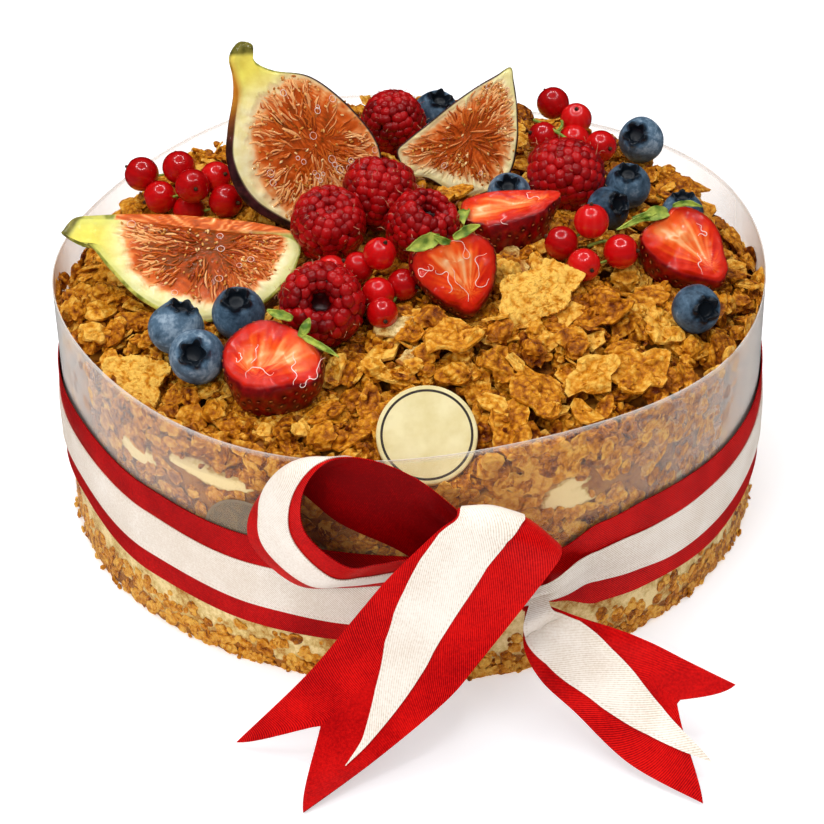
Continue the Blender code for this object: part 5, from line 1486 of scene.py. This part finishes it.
figs = {
    "fig_half": {
        "bubbles": 22, "base": (-19.5, 5, 88), "stem": (-49, 19.5, 144), "face": (0.2, -0.92, 0.34),
        "roll": 1.0, "drop": 0, "back": 0.85, "spine": ((0, 19.5), (-0.5, 59)), "core": (-4.5, 26.9),
        "threads": 460, "seeds": 240, "purple": 0.9, "stalk": 61.2, "neck": 49, "cut": None, "shade": 0.0,
        "greenRim": 0.15, "blush": 0.9,
        "outline": ((0.1, 65.6, 0.5), (-2.6, 62.9, 0.5), (-0.8, 58.4, 0.5), (-4.6, 52.8, 0.5),
                    (-13.2, 45.9, 0.5), (-18.5, 34.7, 0.5), (-21.4, 22.3, 0.5), (-20.9, 14.4, 0.5),
                    (-17.7, 9.4, 0.5), (-12.5, 4.6, 0.5), (-5.5, 0.8, 0.5), (2.7, 0.2, 0.8),
                    (10.0, 3.0, 1.3), (18.4, 12.4, 2.6), (23.5, 23.8, 3.2), (21.9, 35.5, 2.3),
                    (16.7, 44.1, 2.2), (10.5, 51.9, 1.6), (7.5, 57.5, 0.6), (5.9, 62.5, 0.5),
                    (3.3, 64.9, 0.5)),
        "flesh": ((-6.4, 47.4), (-9.8, 45.0), (-13.2, 40.6), (-16.5, 34.4), (-18.8, 28.2), (-19.4, 22.8),
                  (-18.6, 15.5), (-15.6, 11.2), (-11.4, 8.1), (-3.8, 4.7), (4.4, 4.7), (10.0, 7.9),
                  (14.5, 13.0), (16.8, 23.8), (15.0, 32.0), (11.8, 40.0), (6.2, 45.6), (0, 47.8)),
        "right": 2.6, "grow": 0.7},
    "fig_wedge": {
        "bubbles": 8, "base": (-32.4, -23.1, 94.6), "stem": (-103.8, -20.2, 97.1), "face": (0, -0.64, 0.77),
        "roll": 1.0, "drop": 0, "back": 0.6, "spine": ((4, 18), (-2, 66)), "core": (-2.1, 26.7),
        "threads": 430, "seeds": 180, "purple": 0.0, "stalk": 71.5, "neck": 54, "cut": -7.0, "shade": -0.22,
        "greenRim": 0.5, "blush": 0.0,
        "outline": ((-4.3, 71.4, 0.4), (-6.2, 71.3, 0.8), (-9.9, 68.2, 0.8), (-11.0, 61.0, 1.4),
                    (-12.0, 50.0, 2.5), (-12.3, 38.7, 3.9), (-11.7, 27.2, 4.3), (-10.6, 14.0, 4.3),
                    (-7.9, 3.1, 3.2), (-2.9, 0.0, 0.6), (3.1, 0.9, 0.6), (8.6, 3.5, 0.8), (15.4, 9.9, 0.8),
                    (19.8, 17.6, 0.9), (21.8, 25.3, 0.7), (21.5, 34.4, 0.8), (15.3, 47.2, 1.0),
                    (6.1, 56.8, 1.1), (-1.5, 63.6, 0.6)),
        "flesh": ((-6.9, 54.0), (-13, 52.0), (-14.4, 33.8), (-14, 22.4), (-12, 9.0), (-6.6, 4.1),
                  (-2.8, 4.0), (2.1, 6.0), (8.2, 9.1), (13.1, 14.5), (16.4, 22.3), (16.0, 31.3),
                  (13.9, 38.2), (11.1, 45.2), (5.9, 50.6), (-1, 53.0))},
    "fig_slice": {
        "bubbles": 4, "base": (13, 21, 91), "stem": (34, 37, 125), "face": (0.1, -0.92, 0.38),
        "roll": 1.0, "drop": 0, "back": 0.5, "spine": ((1, 10.8), (0.5, 34)), "core": (2.5, 16.7),
        "threads": 240, "seeds": 140, "purple": 0.8, "stalk": 99, "neck": 42, "cut": None, "shade": -0.05,
        "greenRim": 0.2, "blush": 0.0,
        "outline": ((1.0, 43.1, 0.4), (-1.8, 40.1, 0.4), (-5.6, 35.1, 0.4), (-9.0, 29.8, 0.5),
                    (-12.0, 24.3, 0.6), (-14.8, 15.5, 0.6), (-13.9, 8.7, 0.6), (-10.3, 4.2, 0.5),
                    (-4.5, -0.6, 0.4), (1.5, 0.0, 0.4), (8.0, 0.3, 0.4), (13.4, -1.4, 0.4),
                    (20.1, 2.9, 0.4), (19.2, 7.8, 0.4), (15.4, 16.4, 0.4), (11.7, 24.9, 0.4),
                    (7.6, 32.8, 0.4), (3.7, 39.0, 0.4)),
        "flesh": ((1.8, 36.3), (-1.3, 35.2), (-4.7, 31.1), (-8.2, 25.9), (-11.3, 18.0), (-11.9, 12.4),
                  (-8.4, 7.6), (0.3, 6.1), (7.9, 4.5), (14.9, 2.0), (18.0, 3.8), (16.2, 9.0), (12.4, 17.4),
                  (8.4, 25.4), (4.8, 32.0)),
        "grow": 1.5}}
figGrid = {"faceRows": 60, "columns": 260}


def glazedFig():
    finish, tree = newFinish("glazedCutFig")
    flesh, tone, skin, purple, neck, stalk, green, blush = (
        addNode(tree, "Attribute", attribute_name=label, output=2)
        for label in ("flesh", "tone", "skin", "purple", "neck", "stalk", "green", "blush"))
    place = addNode(tree, "TexCoord", output=3)
    mottle = addNode(tree, "TexNoise", {"Vector": place, "Scale": grain(3.0), "Detail": 4.0})
    fine = addNode(tree, "TexNoise", {"Vector": place, "Scale": grain(0.9), "Detail": 3.0})
    glaze = addNode(tree, "TexNoise", {"Vector": place, "Scale": grain(4.0), "Detail": 1.5,
                                       "Distortion": 0.8})
    rind = addNode(tree, "ValToRGB", {"Fac": mottle}, stops=((0.3, "#F3E29C"), (0.65, "#FEF3C4")))
    neckTone = addNode(tree, "Math", {0: mottle, 1: 0.25, 2: neck}, operation="MULTIPLY_ADD")
    neckColour = addNode(tree, "ValToRGB", {"Fac": mottle}, stops=((0.25, "#DCC62C"), (0.7, "#F0E252")))
    rind = addNode(tree, "Mix", {0: addNode(tree, "MapRange", {0: neckTone, 1: 0.2, 2: 1.25}), 6: rind,
                                 7: neckColour}, output=2, data_type="RGBA")
    rind = addNode(tree, "Mix", {0: green, 6: rind, 7: "#C2CC6C"}, output=2, data_type="RGBA")
    heart = addNode(tree, "ValToRGB", {"Fac": addNode(tree, "Math", {0: mottle, 1: 0.3, 2: tone},
                                                      operation="MULTIPLY_ADD")}, stops=(
        (0.1, "#7E3C06"), (0.32, "#AC4206"), (0.58, "#D25A14"), (0.82, "#EE9854"), (1.02, "#FADCA4")))
    colour = addNode(tree, "Mix", {0: flesh, 6: rind, 7: heart}, output=2, data_type="RGBA")
    unripe = addNode(tree, "ValToRGB", {"Fac": mottle}, stops=((0.35, "#6E7420"), (0.65, "#C8C25A")))
    dark = addNode(tree, "ValToRGB", {"Fac": mottle}, stops=((0.35, "#1C0C10"), (0.65, "#4A2026")))
    isDark = addNode(tree, "Math", {0: mottle, 1: 0.4, 2: purple}, operation="MULTIPLY_ADD")
    isDark = addNode(tree, "MapRange", {0: isDark, 1: 0.4, 2: 0.8})
    outside = addNode(tree, "Mix", {0: isDark, 6: unripe, 7: dark}, output=2, data_type="RGBA")
    woody = addNode(tree, "ValToRGB", {"Fac": mottle}, stops=((0.35, "#4E4A14"), (0.65, "#8C8236")))
    for cover, paint in ((skin, outside), (blush, "#C06C14"), (stalk, woody)):
        colour = addNode(tree, "Mix", {0: cover, 6: colour, 7: paint}, output=2, data_type="RGBA")
    wet = addNode(tree, "Bump", {"Height": glaze, "Strength": 0.8, "Distance": 1.6 * mm})
    grit = addNode(tree, "Bump", {"Height": fine, "Strength": 0.3, "Distance": 0.4 * mm})
    return wear(finish, addNode(tree, "BsdfPrincipled", {
        "Base Color": colour, "Roughness": 0.45, "Normal": grit, "Coat Normal": wet, "Coat Weight": 0.45,
        "Coat Roughness": 0.05, "Specular IOR Level": 0.2}))


def glazedFigThread(name, low, middle, high):
    finish, tree = newFinish(name)
    tone = addNode(tree, "Attribute", attribute_name="tone", output=2)
    place = addNode(tree, "TexCoord", output=3)
    mottle = addNode(tree, "TexNoise", {"Vector": place, "Scale": grain(1.5), "Detail": 2.0})
    mixed = addNode(tree, "Math", {0: mottle, 1: 0.4, 2: tone}, operation="MULTIPLY_ADD")
    colour = addNode(tree, "ValToRGB", {"Fac": mixed}, stops=((0.25, low), (0.65, middle), (1.1, high)))
    return wear(finish, addNode(tree, "BsdfPrincipled", {
        "Base Color": colour, "Roughness": 0.3, "Coat Weight": 0.4, "Coat Roughness": 0.06,
        "Specular IOR Level": 0.25}))


def figBody(values):  # the cut fig in its own frame, what shows where on it, and where its flesh lies
    grid, zone, rim = cutFruit(values, figGrid["faceRows"], figGrid["columns"])
    points = grid.reshape(-1, 3).copy()
    away = points[:, [0, 2]] - np.array(values["core"])
    angle, reach = np.arctan2(away[:, 1], away[:, 0]), np.linalg.norm(away, axis=1)
    streak, hair = rays(angle, reach, 9, 0.12), rays(angle, reach, 26, 0.18)
    depth = signedDepth(points[:, [0, 2]], values["flesh"]) + 1.6 * streak + 1.8 * hair
    depth += values.get("grow", 0) + values.get("right", 0) * smoothstep(4, -14, points[:, 0])
    flesh = smoothstep(-1.4, 1.1, depth) * (rim > -0.01)
    tone = 0.72 + values["shade"] - 0.5 * smoothstep(0, 9, depth) + 0.45 * hair + 0.3 * streak
    tone += 0.25 * np.exp(-(depth / 1.2) ** 2)
    onFace = smoothstep(0, 1.5, rim)
    points[:, 1] += (onFace * (rough(points, 5, 0.5) - 0.7 * flesh + 0.3)
                     + (1 - onFace) * rough(points, 3.5, 0.4) * 0.3)
    cut, along, neck = values["cut"], points[:, 2], values["neck"]
    second = np.zeros(len(points))
    if cut is not None:  # the second cut shows along the top, pink and streaked
        second = (1 - smoothstep(cut - 0.5, cut + 1.5, points[:, 0])) * (along < 56) * (along > 2)
        second = second * (rim < 0.2) * (zone <= 1.6)
        tone = np.where(second > 0.5, 0.42 + 0.6 * hair, tone)
        flesh = np.maximum(flesh, second)
    blush = values["blush"] * np.exp(-((along - 54) / 8) ** 2) * (points[:, 0] > 0)
    marks = {
        "flesh": flesh, "tone": tone, "skin": (1 - smoothstep(-0.15, 0.35, rim)) * (1 - second),
        "blush": blush * (1 - smoothstep(-0.5, 2.5, rim)), "neck": smoothstep(neck - 6, neck + 8, along),
        "purple": values["purple"] * (1 - smoothstep(neck - 8, neck + 8, along)),
        "green": values["greenRim"] * (1 - smoothstep(0.5, 4.5, rim)),
        "stalk": smoothstep(values["stalk"] - 1, values["stalk"] + 1, along - 0.5 * points[:, 0])}
    soft = (flesh > 0.55) & (rim > 0.3) & (second < 0.5)
    return points, gridQuads(*grid.shape[:2], True), marks, points[soft]


def threadShape(rng, start, middle):  # a wavy thread of flesh from near the rind towards the heart
    span = middle - start
    length = rng.uniform(2.2, 6.5)
    heading = span / (np.linalg.norm(span) + 1e-6) + rng.normal(0, 0.17, 3) * (1, 0, 1)
    sideways = np.cross(heading, (0, 1, 0))
    path = bentPath(start, start + heading * length, sideways * rng.normal(0, 0.4), 8)
    wave = np.sin(np.linspace(0, rng.uniform(3, 7), 8) + rng.uniform(0, 6)) * 0.22
    path += sideways[None] * wave[:, None]
    path[:, 1] = -0.42 + 0.42 * np.sin(np.linspace(0.2, 2.9, 8)) * rng.uniform(0.3, 1)
    return tubeShape(path, rng.uniform(0.22, 0.4) * np.array((0.3, 0.75, 1, 1, 1, 0.9, 0.7, 0.35)), 6)


def addFigs():
    rng = np.random.default_rng(14)
    bodies, threads, seeds, bubbles = Bin(), Bin(), Bin(), Bin()
    seedPoints, seedQuads, seedCaps = ballShape(9, 7)
    turns = np.linspace(0, math.tau, 15)
    for values in figs.values():
        base, stem = np.array(values["base"], float), np.array(values["stem"], float)
        axes = turned(stem - base, values["face"])
        points, quads, marks, spots = figBody(values)
        bodies.put(points @ axes.T + base, quads, **marks)
        apart = np.linalg.norm(spots[:, [0, 2]] - np.array(values["core"]), axis=1)
        outer = spots[(apart > 5) & (rng.random(len(spots)) < 0.15 + 0.85 * smoothstep(3, 12, apart))]
        middle = np.array((values["core"][0], 0, values["core"][1]))
        for _ in range(values["threads"]):
            start = outer[rng.integers(len(outer))] * (1, 0, 1) + rng.normal(0, 0.25, 3) * (1, 0, 1)
            made, quads, caps = threadShape(rng, start, middle)
            tone = rng.normal(0.04 + 0.036 * np.linalg.norm(middle - start), 0.17) + values["shade"]
            threads.put(made @ axes.T + base, quads, caps, tone=np.clip(tone, -0.1, 1.0))
        for _ in range(values["seeds"]):
            spot = spots[rng.integers(len(spots))] * (1, 0, 1) + rng.normal(0, 0.3, 3) * (1, 0, 1)
            spot[1] = rng.uniform(-0.35, 0.1)
            local = turned(rng.normal(0, 1, 3), rng.normal(0, 1, 3))
            made = (seedPoints * (0.36, 0.36, 0.68) * rng.uniform(0.8, 1.1)) @ local.T + spot
            seeds.put(made @ axes.T + base, seedQuads, seedCaps, tone=rng.random() * 0.8)
        for _ in range(values["bubbles"]):  # bubbles in the glaze, coloured near white as painted glints on their rims
            spot = spots[rng.integers(len(spots))]
            size = rng.uniform(0.5, 1.1)
            path = np.stack([size * np.cos(turns), 0 * turns, 1.2 * size * np.sin(turns)], axis=1)
            made, quads, caps = tubeShape(path + (spot[0], 0.3, spot[2]), 0.09, 5)
            bubbles.put(made @ axes.T + base, quads, caps)
    nodes = list(figs)
    bubbles.piece("figGlazePaintedGlints", paintedGlazeGlint(), nodes)
    weld(bodies.piece("figHalves", glazedFig(), nodes, "fig"))
    flesh = glazedFigThread("glazedFigThreads", "#983408", "#CE641C", "#F6B878")
    threads.piece("figThreads", flesh, nodes, "fig")
    seeds.piece("figSeeds", glazedFigThread("glazedFigSeeds", "#B06018", "#DC9844", "#FADCA0"), nodes, "fig")


# Large flakes: two pale sheets of baked pastry leaning on the heap

largeFlakes = {
    "pastry_flake_right": {
        "at": (39.5, -41), "lift": 3.0, "face": (0.1, -0.5, 0.85), "shift": (-0.4, 1.9),
        "edge": ((0, 11.4), (12, 14.3), (19, 13.5), (30, 12.1), (46, 11.7), (57, 12.0), (71, 11.3),
                 (78, 9.9), (93, 8.0), (115, 7.8), (136, 9.0), (151, 11.5), (161, 12.5), (183, 12.1),
                 (198, 14.3), (211, 16.2), (221, 16.0), (229, 14.5), (240, 12.7), (245, 10.3), (260, 8.1),
                 (284, 7.9), (309, 8.7), (329, 9.0), (348, 8.8), (360, 11.4))},
    "pastry_flake_left": {
        "at": (-76.5, -62), "lift": 1.5, "face": (-0.2, -0.55, 0.8), "shift": (-2.6, -0.6),
        "edge": ((0, 7.4), (14, 8.1), (27, 10.3), (42, 9.9), (65, 7.5), (103, 7.1), (137, 8.4), (152, 11.5),
                 (165, 12.8), (183, 10.8), (207, 9.3), (236, 7.1), (267, 7.2), (295, 9.1), (309, 11.4),
                 (330, 9.7), (348, 6.9), (360, 7.4))}}


def addLargeFlakes():
    heap = Bin()
    for index, values in enumerate(largeFlakes.values()):
        turns = np.arange(150) / 150 * math.tau
        reach = np.interp(np.degrees(turns), *np.array(values["edge"]).T)
        reach += np.array([0.35 * swirl(math.cos(t) * 9, math.sin(t) * 9, index) for t in turns])
        share = np.linspace(1, 0.01, 34)[:, None] ** 0.8
        x, y = share * reach * np.cos(turns), share * reach * np.sin(turns)
        flat = np.stack([x.ravel(), y.ravel()], axis=1)
        # blisters of the dough, as narrow winding ridges that bend round one another
        warp = [(a + 1.6 * swirl(a / 4, b / 4, 5), b + 1.6 * swirl(a / 4, b / 4, 9)) for a, b in flat]
        ridge = np.array([1 - min(1, abs(swirl(a / 2.1, b / 1.5, index)) * 5.5) for a, b in warp])
        wave = np.array([swirl(a / 6, b / 6, 20 + index) for a, b in flat])
        height = 1.3 * wave + 0.42 * ridge + 0.012 * (flat[:, 0] ** 2 - 0.6 * flat[:, 1] ** 2) * 0.6
        grid = np.stack([x + values["shift"][0], y + values["shift"][1], height.reshape(x.shape)], axis=2)
        points, faces, caps = filledShell(grid, 0.7)
        axes = turned(values["face"], (0, 0, 1))
        # raised ridges and swells are painted paler through the ridge value: painted light on the sheets'
        # tops
        raised = bothSides(ridge * 0.5 + wave * 0.4 + 0.25)
        heap.put(points @ axes.T + overHeap(values["at"], values["lift"]), faces, caps, tone=0.8,
                 ridge=np.append(raised, (0, 0)))
    finish = bakedPastry("paleBakedPastrySheet", 0.1, -0.6)
    heap.piece("largePastryFlakes", finish, list(largeFlakes), "pale_flake", 60)


creamSlabs = ((-3.5, -54, 7.5, 4.5, 100), (31.0, -22.5, 6.5, 5.0, 10), (2.2, -65.5, 6.5, 4.0, 115))


def addCreamSlabs():  # custard cream laid bare where the crumbs have fallen away
    heap = Bin()
    for index, (x, y, length, width, degrees) in enumerate(creamSlabs):
        shape, faces, ridge = flakeShape(9, 34, 60 + index, 0.16, 0.25)
        turn = math.radians(degrees)
        ahead = np.array((math.cos(turn), math.sin(turn), 0))
        tilt = turned((0, -0.35, 1), ahead)
        points = (shape * (length, width, length * 0.6)) @ tilt.T + overHeap((x, y), 2.3)
        heap.put(points, faces, cream=0.5, ridge=ridge)
    heap.piece("creamSlabs", custardSide("custardUnderSyrup", 0.1), "cake", "crumb", sharp=60)


overhead = undersides(toppingTree())
dropCrumbs(overhead)
addCakeBody(overhead)
pressCrumbs()
addCreamSlabs()
addCollar()
addSeal()
print("collar")
addRedRibbon()
addWhiteRibbon()
addDisc()
addRaspberries()
addBlueberries()
addCurrants()
addStrawberries()
addFigs()
addLargeFlakes()
